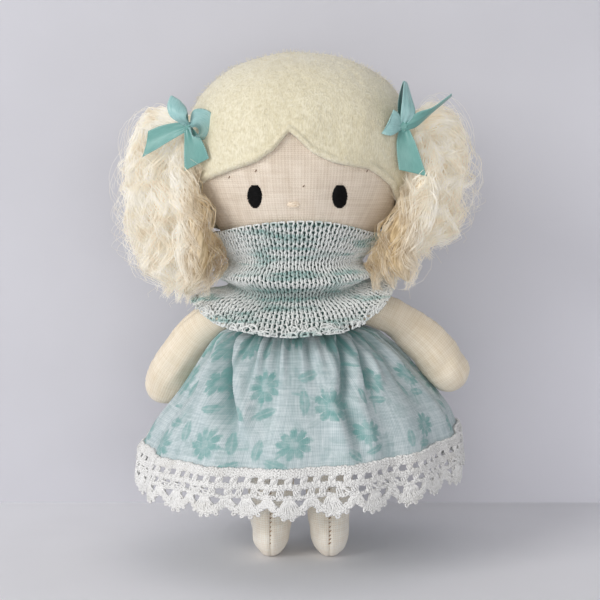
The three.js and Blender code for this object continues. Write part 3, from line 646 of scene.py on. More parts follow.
# %% A tree that scatters short curved fibres
def fuzz_tree():
    inputs = [("Density", "Float"), ("Fibre Length", "Float"), ("Fibre Radius", "Float"), ("Seed", "Int")]
    tree, add = new_tree("short_fibres", inputs + [("Fibre Finish", "Material")])
    given = add("NodeGroupInput").outputs
    roots = add("GeometryNodeDistributePointsOnFaces", Mesh=given["Geometry"], Density=given["Density"],
                Seed=given["Seed"])
    bow = add("GeometryNodeCurveQuadraticBezier", Resolution=4, Start=(0, 0, -0.1), Middle=(0, 0, 0.6),
              End=(0.6, 0, 0.75))
    ring = add("GeometryNodeCurvePrimitiveCircle", Resolution=3, Radius=1.0)
    slim = add("ShaderNodeMath", {"operation": "DIVIDE"}, Value=given["Fibre Radius"],
               Value_001=given["Fibre Length"])
    fibre = add("GeometryNodeCurveToMesh", Curve=bow.outputs[0], Profile_Curve=ring.outputs[0],
                Scale=slim.outputs[0])
    fibre.inputs["Fill Caps"].default_value = True
    lean = add("FunctionNodeRandomValue", {"data_type": "FLOAT_VECTOR"}, Min=(-1.1, -1.1, 0),
               Max=(1.1, 1.1, TURN), Seed=given["Seed"])
    turn = add("FunctionNodeRotateRotation", {"rotation_space": "LOCAL"}, Rotation=roots.outputs["Rotation"])
    euler = add("FunctionNodeEulerToRotation", Euler=lean.outputs["Value"])
    tree.links.new(euler.outputs[0], turn.inputs[1])
    share = add("FunctionNodeRandomValue", {"data_type": "FLOAT"}, Min_001=0.35, Max_001=1.0,
                Seed=given["Seed"])
    size = add("ShaderNodeMath", {"operation": "MULTIPLY"}, Value=given["Fibre Length"],
               Value_001=share.outputs[1])
    placed = add("GeometryNodeInstanceOnPoints", Points=roots.outputs["Points"], Instance=fibre.outputs[0],
                 Rotation=turn.outputs[0], Scale=size.outputs[0])
    real = add("GeometryNodeRealizeInstances", Geometry=placed.outputs[0])
    dress(add, real.outputs[0], given["Fibre Finish"])
    return tree


FUZZ = fuzz_tree()


def fuzz(name, base, per_mm2, length, radius, seed, finish):
    """Short fibres that stand off a piece."""
    copy = added(name, base.data.copy())
    values = {"Density": per_mm2 * 1e6, "Fibre Length": length * MM, "Fibre Radius": radius * MM}
    return run_tree(copy, FUZZ, {**values, "Seed": seed, "Fibre Finish": finish.material})


wool = spun("wool_fibres", 0.9, (222, 212, 181), (242, 236, 214), size=0.8, steps=(0.3, 0.7),
            Sheen_Weight=0.4)
for cap, seed in zip(caps, (31, 32)):
    hairs = fuzz(cap.name + "_fibres", cap, per_mm2=0.8, length=1.6, radius=0.04, seed=seed, finish=wool)
    finished(hairs, wool, "head", "felt")


# %% [markdown]
# ## Arms and legs
# Each limb is a small linen bag of two panels, turned and stuffed hard. It is round, with a seam that draws
# the cloth in and puckers it. An arm follows a curved line from a knob at the shoulder to a round hand. A
# leg is a column of level sections with its seam down the front and a short foot.


# %% One panel of a limb
def seam_tuck(aside, along, depth, seed):
    """How far cloth is drawn in near a seam, with small puckers along it."""
    pucker = 0.5 + 0.5 * np.sin(along * TURN / 2.3 + 1.3 * np.sin(along * 0.9 + seed))
    return depth * np.exp(-(aside / 0.55) ** 2) + 0.16 * pucker * np.exp(-(aside / 2.2) ** 2)


ARM_SHARES = np.array([[0.02, 0], [0.17, 0.1], [0.38, 0.45], [0.6, 0.8], [0.8, 1], [0.94, 0.92]])
SHOULDER = (20, 75)
SHOULDER_RADIUS, HAND_RADIUS = 5.2, 6.8


def arm_line(xs, heights):
    """The middle line of an arm in the front view, from the tip of its knob to the tip of the hand."""
    x, z = np.array([SHOULDER[0], *xs]), np.array([SHOULDER[1], *heights])
    knots = np.stack([x, z], -1)
    first = knots[0] - SHOULDER_RADIUS * unit(knots[1] - knots[0])
    last = knots[-1] + HAND_RADIUS * unit(knots[-1] - knots[-2])
    knots = np.concatenate([[first], knots, [last]])
    places = lengths_along(knots)
    return through(places, knots), places[-1]


def arm_radius(place, length):
    middle = length - SHOULDER_RADIUS - HAND_RADIUS
    swell = through([0, *ARM_SHARES[:, 0], 1], [0, *ARM_SHARES[:, 1], 0.9])
    radius = SHOULDER_RADIUS + swell((place - SHOULDER_RADIUS) / middle) * (HAND_RADIUS - SHOULDER_RADIUS)
    knob = np.clip(1 - place / SHOULDER_RADIUS, 0, 1)
    hand = np.clip(1 - (length - place) / HAND_RADIUS, 0, 1)
    return radius * np.sqrt(np.clip(1 - knob ** 2, 0, 1)) * np.sqrt(np.clip(1 - hand ** 2, 0, 1))


def arm_panel(name, side, xs, heights, swing, front, seed):
    line, length = arm_line(xs, heights)
    place = length * (1 - np.cos(np.linspace(0, math.pi, 90))) / 2
    centre, way = line(place), unit(line(place + 0.05) - line(place - 0.05))
    way[[0, -1]] = way[[1, -2]]
    half = np.linspace(0, math.pi, 45)
    radius = arm_radius(place, length)[:, None]
    across, back = radius * np.cos(half), radius * np.sin(half) * (-1 if front else 1)
    x = centre[:, :1] + across * way[:, 1:]
    z = centre[:, 1:] - across * way[:, :1]
    points = np.stack([side * x, back, z], -1)
    middle = np.stack([side * centre[:, 0], 0 * place, centre[:, 1]], -1)[:, None]
    outward = unit(points - middle)
    along = place[:, None] + 0 * back
    tuck = seam_tuck(back, along, depth=0.4, seed=seed) * np.clip(radius / 4, 0, 1)
    swell = 0.16 * ripple(points, 7, seed) + 0.12 * ripple(points, 13, seed + 1)
    points = points + outward * (swell * np.clip(radius / 4, 0, 1) - tuck)[..., None]
    lean = points[..., 2] - SHOULDER[1]
    y = points[..., 1] * math.cos(swing) - lean * math.sin(swing)
    z = points[..., 1] * math.sin(swing) + lean * math.cos(swing) + SHOULDER[1]
    points = np.stack([points[..., 0], y, z], -1)
    return open_piece(name, points, flip=front == (side > 0))


def stuffed(panel, finish, body, part, filled):
    """Gives a limb's panel its cloth. The filled one stands for the stuffing too."""
    nodes = [f"{body}_{part}_panel"] + ([f"{body}_stuffing"] if filled else [])
    finished(thicken(panel, CLOTH), finish, body, "linen", *nodes)


ARMS = [
    (1, "left", [27.8, 35, 40.6, 44.4], [71.8, 66.4, 61, 55.8], 0.0),
    (-1, "right", [29.8, 36.5, 40.3, 42.2], [66.9, 56.1, 48.7, 43.6], 0.583),
]
for side, name, xs, heights, swing in ARMS:
    for part, front in [("front", True), ("back", False)]:
        panel = arm_panel(f"{name}_arm_{part}", side, xs, heights, swing, front, 40 + side)
        stuffed(panel, limb_linen, f"{name}_arm", part, front)


# %% Legs, with the seam down the front
LEG_SHARES = np.array([
    [0.0, 0.0, 0.0, 0.2], [0.006, 0.25, 0.42, 0.35], [0.013, 0.36, 0.6, 0.45], [0.045, 0.56, 0.82, 0.8],
    [0.1, 0.74, 0.96, 1], [0.19, 0.85, 1, 1], [0.29, 0.94, 0.86, 0.62], [0.42, 1, 0.73, 0.1],
    [0.62, 0.98, 0.7, 0], [0.78, 0.91, 0.66, 0], [0.92, 0.74, 0.53, 0], [0.975, 0.42, 0.3, 0], [1, 0, 0, 0],
])
leg_profile = through(LEG_SHARES[:, 0], LEG_SHARES[:, 1:])
HIP_X, SOLE_SINK, LEG_TOP = 8.8, 0.5, 44.2
LEG_HALF, FOOT_HALF, FOOT_FORWARD = 6.9, 9.6, 2.9


def leg_panel(name, side, outer, seed):
    share = np.concatenate([[0, 0.004], np.linspace(0.012, 0.97, 80), [0.985, 0.995, 1]])
    width, length, shift = leg_profile(share).T[:, :, None]
    turn = np.linspace(-math.pi / 2, math.pi / 2, 45) + (0 if outer == (side > 0) else math.pi)
    x = LEG_HALF * width * np.cos(turn)
    y = FOOT_HALF * length * np.sin(turn) - FOOT_FORWARD * shift
    z = (-SOLE_SINK + share * (LEG_TOP + SOLE_SINK))[:, None] + 0 * x
    points = np.stack([x + side * HIP_X, y, z], -1)
    outward = unit(np.stack([np.cos(turn) + 0 * x, np.sin(turn) + 0 * x, 0 * x], -1))
    tuck = seam_tuck(x, z, depth=0.45, seed=seed) * np.clip(width * 2, 0, 1)
    swell = 0.14 * ripple(points, 6, seed) + 0.14 * ripple(points, 12, seed + 1)
    points = points + outward * (swell * np.clip(width * 1.5, 0, 1) - tuck)[..., None]
    points[..., 2] = np.maximum(points[..., 2], 0)
    return open_piece(name, points)


for side, name in [(1, "left"), (-1, "right")]:
    for part, outer in [("inner", False), ("outer", True)]:
        panel = leg_panel(f"{name}_leg_{part}", side, outer, 50 + side)
        stuffed(panel, lit_leg_linen, f"{name}_leg", part, outer)


# %% Stitches across the seams of the legs
seam_thread = spun("seam_thread", 0.8, (122, 84, 48), (186, 150, 106), size=0.7, steps=(0.35, 0.65))
for side, name in [(1, "left"), (-1, "right")]:
    chance = np.random.default_rng(60 + side)
    lines = []
    for way in (-1, 1):
        for height in np.arange(5.5, 34, 1.15):
            share = (height + SOLE_SINK) / (LEG_TOP + SOLE_SINK)
            _, length, shift = leg_profile(share)
            depth = way * (FOOT_HALF * length - 0.28) - FOOT_FORWARD * shift
            reach = chance.uniform(0.3, 0.5)
            rise = chance.uniform(0.1, 0.35)
            ends = [(-reach, 0.3 * way, -rise), (0, 0, 0), (reach, 0.3 * way, rise)]
            lines.append([(side * HIP_X + a, depth - b, height + c) for a, b, c in ends])
    stitches = threads(f"{name}_leg_stitches", lines, 0.13, seam_thread, sides=4)
    finished(stitches, seam_thread, f"{name}_leg", "linen")


# %% [markdown]
# ## Torso and the thread through the shoulders
# The torso is hidden by the dress and the cowl, and only shows from below. It takes a merged and smoothed
# copy of the solid's own panels, because these already carry the seats of the head, the arms and the legs.


# %% Smoothed copies of hidden panels
def smooth_copy(name, node):
    shape = bmesh.new()
    shape.from_mesh(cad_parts[node].data)
    bmesh.ops.remove_doubles(shape, verts=shape.verts, dist=0.01 * MM)
    mesh = bpy.data.meshes.new(name)
    shape.to_mesh(mesh)
    shape.free()
    mesh.shade_smooth()
    return added(name, mesh)


hidden_linen = Finish("linen_torso", 0.95, Sheen_Weight=0.2)
x, _, z = hidden_linen.parts(hidden_linen.place())
height, uneven = weave(hidden_linen, hidden_linen.joined(x, z), pitch=0.62)
hidden_linen.colour(hidden_linen.mix(shade(205, 186, 156), shade(240, 228, 206), uneven.step(0.3, 0.7)))
hidden_linen.relief(height, 0.15)
for part, nodes in [("front", ("torso_front_panel", "torso_stuffing")), ("back", ("torso_back_panel",))]:
    panel = smooth_copy(f"torso_{part}", nodes[0])
    finished(panel, hidden_linen, "torso", "linen", *nodes)

THREAD_REACH, THREAD_POINTS, PLY_OUT = 14.4, 160, 0.27
reach, plies = np.linspace(-THREAD_REACH, THREAD_REACH, THREAD_POINTS), []
for phase in (0, TURN / 3, 2 * TURN / 3):
    turns = np.linspace(0, 60, THREAD_POINTS) + phase
    plies.append(np.stack([reach, PLY_OUT * np.cos(turns), SHOULDER[1] + PLY_OUT * np.sin(turns)], -1))
thread = threads("shoulder_thread", plies, 0.26, cream_thread, sides=6)
finished(thread, cream_thread, "torso", "cream_thread", "arm_thread")

# %% [markdown]
# ## Skirt
# The skirt is one straight strip of printed cotton, gathered on an elastic. Fine gathers at the top run
# together into soft folds that open towards the hem. The folds are the solid's own list of creases: each
# follows its own line down the cloth, is deep where the gathers pull, and lifts the cloth beside it.

# %% Skirt surface
SKIRT_TOP, SKIRT_HEM = 69.2, 35.0
CLOTH_LONG, CLOTH_HIGH = 279, 46  # the flat strip, in mm
GATHER_HALF, HEM_HALF = (17.4, 13.2), (47.3, 38.6)
skirt_spread = through(
    [0, 0.03, 0.1, 0.2, 0.35, 0.55, 0.78, 1],
    [[0, 0, 0], [0.11, 0.1, 0], [0.22, 0.22, 0.1], [0.34, 0.35, 0.6],
     [0.49, 0.5, 1.2], [0.68, 0.69, 1.7], [0.88, 0.88, 1], [1, 1, 0]],
)
# turn at the gathers, half way and at the hem, reach down, depth and half width in mm
CREASES = [
    (0.025, 0.03, 0.035, 0.8, 1.3, 1.9), (0.07, 0.08, 0.075, 0.6, 1.7, 1.6),
    (0.12, 0.115, 0.12, 0.9, 1.2, 2), (0.16, 0.165, 0.16, 0.7, 1.9, 1.7),
    (0.205, 0.2, 0.21, 0.85, 1.1, 1.8), (0.245, 0.25, 0.24, 0.65, 1.8, 1.6),
    (0.295, 0.29, 0.3, 0.9, 1.4, 2), (0.335, 0.34, 0.33, 0.6, 1.7, 1.7),
    (0.385, 0.38, 0.39, 0.85, 1.2, 1.8), (0.43, 0.425, 0.42, 0.7, 1.8, 1.9),
    (0.475, 0.475, 0.48, 0.8, 1.2, 1.7), (0.54, 0.568, 0.585, 0.7, 1.1, 2),
    (0.583, 0.645, 0.698, 0.85, 4.8, 2.1), (0.655, 0.68, 0.7, 0.35, 1.4, 1.2),
    (0.7, 0.71, 0.72, 0.4, 2.2, 1.2), (0.765, 0.762, 0.76, 0.42, 1.9, 1.2),
    (0.84, 0.798, 0.812, 1, 3.0, 1.4), (0.872, 0.835, 0.82, 0.62, 2.5, 1.2),
    (0.925, 0.9, 0.89, 0.6, 1.3, 1.5), (0.975, 0.965, 0.96, 0.9, 1.3, 2),
]


def hem_slope(turn):
    """How much higher the hem hangs: the doll leans back, so it rises behind and at the left hand."""
    angle = np.asarray(turn) * TURN
    return 0.25 + 2.15 * np.cos(angle) + 3 * np.sin(angle)


def crease_depth(turn, down, girth):
    """How far the creases push the cloth in, and out beside them."""
    depth = 0
    for top, middle, hem, reach, deep, width in CREASES:
        aside = (turn - np.interp(down, [0, 0.5, 1], [top, middle, hem])) * girth
        aside = aside / (width * (1 + 0.5 * down))
        aside = aside * (1 + 0.25 * np.tanh(aside * (middle < 0.75)))
        fade = np.clip(down / 0.08, 0, 1) * np.clip((reach - down) / 0.3, 0, 1)
        depth = depth + deep * fade * (0.42 * np.exp(-(np.abs(aside) - 2) ** 2) - np.exp(-aside ** 2))
    return depth


def gather_height(angle, down):
    """The fine gathers at the top, and the wider ones that they run into."""
    wander = 2.5 * np.sin(3 * angle) + 1.4 * np.sin(7 * angle + 1)
    fine = 0.9 * np.exp(-down / 0.14) * np.sin(58 * angle + wander)
    return fine + 1.0 * np.exp(-down / 0.32) * np.sin(27 * angle + 1.5 * wander)


def skirt_at(turn, down, grow=0.0):
    """Points on the outside of the skirt."""
    spread = skirt_spread(down)
    width = GATHER_HALF[0] + spread[..., 0] * (HEM_HALF[0] - GATHER_HALF[0])
    depth = GATHER_HALF[1] + spread[..., 1] * (HEM_HALF[1] - GATHER_HALF[1])
    angle = turn * TURN
    fold = 0.95 * down * np.sin(turn * 14 * TURN) + 0.3 * down * np.sin(turn * 5 * TURN + 1.1)
    fold = fold + crease_depth(turn, down, math.pi * (width + depth))
    out = grow + np.clip(fold + gather_height(angle, down), -5.0, 1.5)
    under_arm = 0.9 * np.exp(-((down - 0.2) / 0.14) ** 2) * np.clip(np.cos(angle), 0, 1) ** 2
    x = (width + out + under_arm) * np.cos(angle) + spread[..., 2]
    z = SKIRT_TOP + down * (SKIRT_HEM - SKIRT_TOP) + down ** 2 * hem_slope(turn)
    return np.stack([x, (depth + out) * np.sin(angle), z], -1)


# %% [markdown]
# ## Printed cotton
# The print is tone on tone: aqua cloth with teal flowers. It is drawn in the shader on the flat cloth map,
# so it follows the folds. The cloth is divided into cells in a brick pattern. Each cell turns and moves one
# small sprig by its own random numbers: a nine-petalled blossom, a bent stem and two leaves. A second,
# paler layer with a smaller cell fills the gaps.


# %% A layer of sprigs
def sprig_layer(finish, spot, cell, scale, seed):
    """A mask of randomly turned sprigs, with one in each cell of that size in mm."""
    u, v, _ = finish.parts(spot)
    row = (v / cell[1]).floor()
    shifted = u / cell[0] + (row * 0.5 + seed)
    column = shifted.floor()
    chance = finish.node("ShaderNodeTexWhiteNoise", {"noise_dimensions": "2D"},
                         {"Vector": finish.joined(column, row + seed)}, "Color")
    spin, drift, size = finish.parts(chance)
    x = (shifted - column - 0.5) * cell[0] + (drift - 0.5) * (0.22 * cell[0])
    y = (v / cell[1] - row - 0.5) * cell[1] + (size - 0.5) * (0.2 * cell[1])
    angle = spin * TURN
    grow = (size * 0.35 + 0.82) * scale
    across = (x * angle.cos() - y * angle.sin()) / grow
    along = (x * angle.sin() + y * angle.cos()) / grow - 1.6
    radius = (across * across + along * along).math("SQRT")
    petal = (along.math("ARCTAN2", across) * 4.5 + drift * 6.0).cos().size()
    edge = petal.math("POWER", 0.6) * 1.1 + 1.5
    ragged = finish.noise(spot, 0.9, 3.0) * 1.5 - 0.75
    blossom = 1 - (radius - edge + ragged).step(-0.4, 0.4)
    heart = 1 - radius.step(0.45, 0.85)
    vein = petal.step(0.0, 0.35)
    blossom = blossom * (vein * 0.3 + 0.7) * (1 - heart * 0.4)
    bent = across - along * along * 0.045 - 0.3
    stem = (1 - bent.size().step(0.12, 0.3)) * (1 - (along + 3.9).size().step(2.7, 3.1))
    leaves = 0.0
    for way, drop in ((1.0, 3.6), (-1.0, 5.0)):
        lx = (across - 1.75 * way) * 0.78 + (along + drop) * (0.62 * way)
        ly = (along + drop) * 0.78 - (across - 1.75 * way) * (0.62 * way)
        body = (lx * lx) / 3.6 + (ly * ly).math("POWER", 0.8) / 0.75
        midrib = ly.size().step(0.04, 0.2) * 0.4 + 0.6
        leaf = (1 - (body + ragged * 0.6).step(0.6, 1.2)) * midrib
        leaves = leaf if leaves == 0.0 else leaves.most(leaf)
    return blossom.most(stem * 0.55).most(leaves * 0.85)


cotton = Finish("printed_cotton", 0.92, Sheen_Weight=0.15, Sheen_Roughness=0.5)
flat = cotton.map()
height, uneven = weave(cotton, flat, pitch=0.5, slub=0.3)
bold = sprig_layer(cotton, flat, cell=(21.5, 17.5), scale=1.95, seed=3.0)
faint = sprig_layer(cotton, flat, cell=(15.5, 13.0), scale=1.3, seed=11.4)
wash = cotton.noise(flat, 2.6, 3.0).step(0.2, 0.7) * 0.6 + 0.4
speckle = height * 0.45 + 0.55
ground = cotton.mix(shade(134, 161, 166), shade(222, 229, 231), uneven.step(0.3, 0.7) * 0.35 + height * 0.65)
# painted shade: the cloth turns deep teal in the valleys of the creases and between the gathers, by the value
# kept on its points
deep = cotton.mix(ground, shade(62, 118, 117), cotton.own("painted_fold_shade") * 0.88)
paler = cotton.mix(deep, shade(122, 156, 156), faint * wash * 0.42 * speckle)
printed = cotton.mix(paler, shade(94, 154, 150), bold * wash * speckle)
cotton.colour(printed)
cotton.relief(height, 0.12)

COLUMNS, ROWS_DOWN = 560, 56
turn, down = np.meshgrid(np.arange(COLUMNS) / COLUMNS, np.linspace(0, 1, ROWS_DOWN) ** 0.92)
points = skirt_at(turn, down)
long, high = np.linspace(0, CLOTH_LONG, COLUMNS + 1), np.linspace(CLOTH_HIGH, 0, ROWS_DOWN)
flat_map = np.stack(np.meshgrid(long, high), -1)
skirt = thicken(grid_piece("skirt_cotton", points, flat_map, wrap=True, flip=True, merge=False), COTTON)
# painted shade for the valleys of the deep creases and between the fine gathers at the top
crease_shade = np.clip((-crease_depth(turn, down, girth=180) - 0.5) / 3, 0, 1) * np.clip(1.25 - down, 0, 1)
painted_fold_shade = np.maximum(crease_shade, np.clip(-0.75 * gather_height(turn * TURN, down), 0, 0.8))
point_values(skirt.data, "painted_fold_shade", painted_fold_shade)
finished(skirt, cotton, "torso", "printed_cotton", "skirt")

# %% [markdown]
# ## Crocheted lace
# The edging is worked in white cotton: chains along the top, a row of posts that leaves square holes, two
# more chains, then fans that end in scallops with picots. All of it is thread, so all of it is drawn as
# lines on a flat pattern of place round the hem and height, which is then bent round the skirt.

# %% Lace pattern
LACE_TOP, LACE_TIP, LACE_NOTCH, SCALLOPS = 36.6, 23.0, 25.9, 25
UPPER_POSTS, LOWER_POSTS, LACE_ROUND = (34.8, 32.4), (31.6, 29.2), 292  # heights, and the way round, in mm
chance = np.random.default_rng(81)


def lace_at(turn, height, out=0.0):
    """Points on the lace, which leans out below the hem of the skirt."""
    turn = np.asarray(turn, float)
    height = np.asarray(height, float) + 0 * turn
    lower = (LACE_TOP - height) / (LACE_TOP - LACE_TIP)
    down = np.clip((SKIRT_TOP - height) / (SKIRT_TOP - SKIRT_HEM), 0, 1)
    seat = skirt_at(turn % 1.0, down, 0.55 + 1.3 * lower + out)
    sag = 0.22 * np.sin(turn * TURN * 17 + 1) + 0.16 * np.sin(turn * TURN * 29)
    seat[..., 2] = height + hem_slope(turn) + sag * lower
    return seat


def scallop_edge(turn):
    return LACE_NOTCH + (LACE_TIP - LACE_NOTCH) * np.abs(np.sin(turn * SCALLOPS * math.pi)) ** 1.1


def chain(height_of, stitches, swing=0.42, samples=6):
    """Two threads that cross over each other all the way round, as a crocheted chain does."""
    turn = np.arange(stitches * samples) / (stitches * samples)
    slack = 0.8 * np.sin(turn * TURN * 31) + 0.6 * np.sin(turn * TURN * 47 + 2)
    phase = turn * stitches * TURN + slack
    pair = []
    for way in (1, -1):
        rise = way * swing * np.sin(phase)
        pair.append(lace_at(turn, height_of(turn) + rise, 0.34 * np.cos(phase * 2 + way)))
    return pair


def plied(first, last, plies, spread, bulge=0.3):
    """Threads from one (turn, height) place on the lace to another, wound round each other."""
    share = np.linspace(0, 1, 9)
    made = []
    for ply in range(plies):
        phase = ply * TURN / plies + chance.uniform(0, 1)
        swing = spread * (ply / max(1, plies - 1) - 0.5) + 0.12 * np.sin(share * 8 + phase)
        turn = first[0] + (last[0] - first[0]) * share + swing / LACE_ROUND
        height = first[1] + (last[1] - first[1]) * share + 0.1 * np.sin(share * 7 + phase)
        made.append(lace_at(turn, height, bulge * np.cos(share * 8 + phase)))
    return made


# %% Rows of the lace
rings, edge_rings, strands = [], [], []
for into, level, uneven, wave in [
    (rings, 36.3, 0.12, 400), (rings, 35.6, 0.12, 400), (rings, 34.95, 0.12, 400),
    (rings, 32.3, 0.15, 300), (rings, 31.7, 0.15, 300), (edge_rings, 29.1, 0.2, 350),
]:
    into += chain(lambda turn: level + uneven * np.sin(turn * wave), SCALLOPS * 8)
for rise, count in ((2.3, 8), (1.6, 9), (0.9, 9)):
    edge_rings += chain(lambda turn: scallop_edge(turn) + rise, SCALLOPS * count)
for scallop in range(SCALLOPS):
    start = scallop / SCALLOPS
    for post in range(3):
        middle = start + (post + 0.5 + chance.uniform(-0.06, 0.06)) / (3 * SCALLOPS)
        foot = middle + chance.uniform(-1, 1) * 5e-4
        strands += plied((middle, UPPER_POSTS[0]), (foot, UPPER_POSTS[1]), plies=5, spread=1.5)
        lower = middle + (0.5 + chance.uniform(-0.12, 0.12)) / (3 * SCALLOPS)
        foot = lower + chance.uniform(-1, 1) * 3e-3
        strands += plied((lower, LOWER_POSTS[0]), (foot, LOWER_POSTS[1]), plies=4, spread=1.5)
        if chance.uniform() < 0.5:
            strands += plied((lower, 31.4), (lower + 0.012, 29.4), plies=2, spread=0.3, bulge=0.6)
    for fan in (0, 0.5):
        root = start + (fan + chance.uniform(-0.03, 0.03)) / SCALLOPS
        for spoke in np.linspace(-0.24, 0.24, 9):
            tip = start + (fan + spoke + chance.uniform(-0.01, 0.01)) / SCALLOPS
            foot = root + (tip - root) * 0.3
            strands += plied((foot, 29.1), (tip, scallop_edge(tip) + 1.2), plies=2, spread=0.3, bulge=0.4)
    for picot in (-0.3, -0.1, 0.1, 0.3):
        middle = start + (0.5 + picot + chance.uniform(-0.03, 0.03)) / SCALLOPS
        loop = np.linspace(0.15, TURN - 0.15, 11)
        reach = chance.uniform(0.3, 0.5)
        turn = middle + 0.0016 * np.sin(loop + chance.uniform(-0.3, 0.3))
        height = scallop_edge(np.full(11, middle)) + 0.55 - reach * (1 - np.cos(loop))
        strands.append(lace_at(turn, height, 0.15 * np.sin(loop * 2)))

white_cotton = Finish("lace_cotton", 0.9, Sheen_Weight=0.3, Sheen_Roughness=0.5)
spot = white_cotton.place()
plies = white_cotton.noise(white_cotton.stretched(spot, (1, 1, 2.2)), 0.34, 3.0)
soft = white_cotton.noise(spot, 6.0, 2.0)
white = white_cotton.mix(shade(218, 217, 215), shade(248, 248, 247), plies.step(0.3, 0.62))
white_cotton.colour(white_cotton.mix(shade(226, 224, 220), white, soft.step(0.15, 0.5)))
white_cotton.relief(plies, 0.18)
for name, lines, radius, closed, nodes in [
    ("lace_rings", rings, 0.35, True, ["lace_hem"]),
    ("lace_edge_rings", edge_rings, 0.33, True, []),
    ("lace_fans", strands, 0.3, False, []),
]:
    lace = threads(name, lines, radius, white_cotton, sides=4, closed=closed)
    finished(lace, white_cotton, "torso", "crochet_lace", *nodes)

# %% [markdown]
# ## Knitted cowl
# The cowl is a tube of plain knitting in soft white yarn with a teal ply that shows in patches. In plain
# knitting each row is one yarn that runs round in loops, and every loop is pulled through the loop below it.
# The formula for one stitch is short, so every row is drawn as a line and bent onto the surface of the cowl:
# tall at the chin, drawn in at the neck, folded once and flared at its loose edge. The knitting is open, so
# dark gaps show between its stitches. A dark teal layer behind the stitches paints the shade in these gaps,
# and the yarn along the fold is painted darker as shade.

# %% Surface of the cowl
# share down, half width, half depth, height at the left, right, front and back, and shift along x
COWL_ROWS = np.array([
    (0, 25.8, 23.3, 97, 97, 101.1, 92.9, -1.2), (0.15, 23.3, 20.9, 92.8, 92.8, 95.6, 90, -1.3),
    (0.32, 19.9, 17.6, 88.6, 88.6, 88.9, 88.3, -1.6), (0.49, 24.2, 21.4, 84.8, 84.6, 83.4, 84.0, -1.4),
    (0.58, 20.2, 17.0, 83.7, 82.2, 80.4, 81.4, -1.4), (0.79, 26.6, 22.8, 83.8, 79.8, 74.8, 79.0, -1.5),
    (1, 30.9, 26.3, 84, 76.4, 69.2, 76, -1.6),
])
cowl_profile = through(COWL_ROWS[:, 0], COWL_ROWS[:, 1:])


def cowl_at(turn, down, grow=0.0):
    """Points on the outside of the cowl, from its top edge at 0 to its hem at 1."""
    turn, down = np.broadcast_arrays(np.asarray(turn, float), np.asarray(down, float))
    width, depth, left, right, front, back, shift = np.moveaxis(cowl_profile(down), -1, 0)
    angle = turn * TURN
    sides = np.cos(angle) ** 4
    across = (left + right) / 2 + (left - right) / 2 * np.cos(angle)
    along = (back + front) / 2 + (back - front) / 2 * np.sin(angle)
    height = across * sides + along * (1 - sides)
    sag = 0.4 * np.sin(angle * 3 + down * 5) + 0.3 * np.sin(angle * 5 + 2 - down * 9)
    sag = sag + 0.5 * np.clip((down - 0.7) / 0.3, 0, 1) * np.sin(angle * 9 + 1)
    room = 0.9 * np.clip(np.cos(angle), 0, 1) * np.exp(-down / 0.2)  # for the cheek when the head turns
    x = (width + grow + 0.5 * sag) * np.cos(angle) + shift + room
    return np.stack([x, (depth + grow + 0.5 * sag) * np.sin(angle), height + sag * 0.6], -1)


# %% Rows of stitches
WALES, ROWS, STEPS = 62, 20, 14  # stitches round, rows, and points for each stitch
UPPER_ROWS = 11  # above the fold
YARN_RADIUS, LOOSE_YARN_RADIUS, LOOSE_LOOPS = 0.3, 0.24, 190
# the yarn along the fold is painted darker: painted shade
CREASE_ROW = 11.6  # where the cowl is folded, and its yarn lies in the dark
yarn = Finish("marled_yarn", 0.95, Sheen_Weight=0.35, Sheen_Roughness=0.6)
spot = yarn.place()
along = yarn.own("along")
patch = yarn.noise(yarn.stretched(spot, (0.15, 0.15, 1)), 2.3).step(0.48, 0.68)
twist = (along * (TURN / 2.2)).sin().step(-0.9, 0.6) * 0.35 + 0.65
hairs = yarn.noise(yarn.stretched(spot, (1, 1, 1.5)), 0.3, 3.0)
white = yarn.mix(shade(194, 200, 198), shade(242, 244, 242), hairs.step(0.3, 0.62))
teal = yarn.mix(shade(88, 138, 132), shade(146, 190, 184), hairs.step(0.3, 0.65))
marled = yarn.mix(white, teal, patch * twist * 0.85)
# painted shade: the yarn turns dark teal by its tone value, which is high along the fold
yarn.colour(yarn.mix(marled, shade(58, 116, 110), yarn.own("tone") * 0.6))
yarn.relief(hairs, 0.2)
chance = np.random.default_rng(61)


def uneven_along(amount):
    """Smooth chance values round a row, with one knot to each stitch."""
    knots = chance.normal(0, amount, WALES)
    return np.interp(np.arange(WALES * STEPS) / STEPS, np.arange(WALES + 1), [*knots, knots[0]])


def knit_row(row):
    """One row of loops: a closed line round the cowl, and its length in mm at each point."""
    phase = np.arange(WALES * STEPS) / STEPS
    swing = phase * TURN
    drop = (row + 0.5) / ROWS
    messy = max(0, drop - 0.84) / 0.16
    wale = phase + 0.205 * np.sin(2 * swing) + uneven_along(0.05 + 0.1 * messy)
    reach = 0.9 / ROWS * np.cos(swing) * (1 + uneven_along(0.07 + 0.25 * messy))
    lift = -0.42 * np.cos(2 * swing) + uneven_along(0.06 + 0.35 * messy)
    points = cowl_at(wale / WALES, drop - reach, -0.5 + lift)
    return points, lengths_along(points) + row * 37.0  # so that the teal ply differs from row to row


knitted = [knit_row(row) for row in range(ROWS)]
for part, rows in [("upper", range(UPPER_ROWS)), ("lower", range(UPPER_ROWS, ROWS))]:
    lines, lengths = zip(*(knitted[row] for row in rows))
    # painted shade along the fold, kept on the yarn as its tone
    cowl_fold_shade = [np.full(WALES * STEPS, math.exp(-((row - CREASE_ROW) / 0.9) ** 2)) for row in rows]
    knit = threads(f"cowl_{part}_rows", lines, YARN_RADIUS, yarn, closed=True, along=lengths,
                   tone=cowl_fold_shade)
    finished(knit, yarn, "torso", "knit")
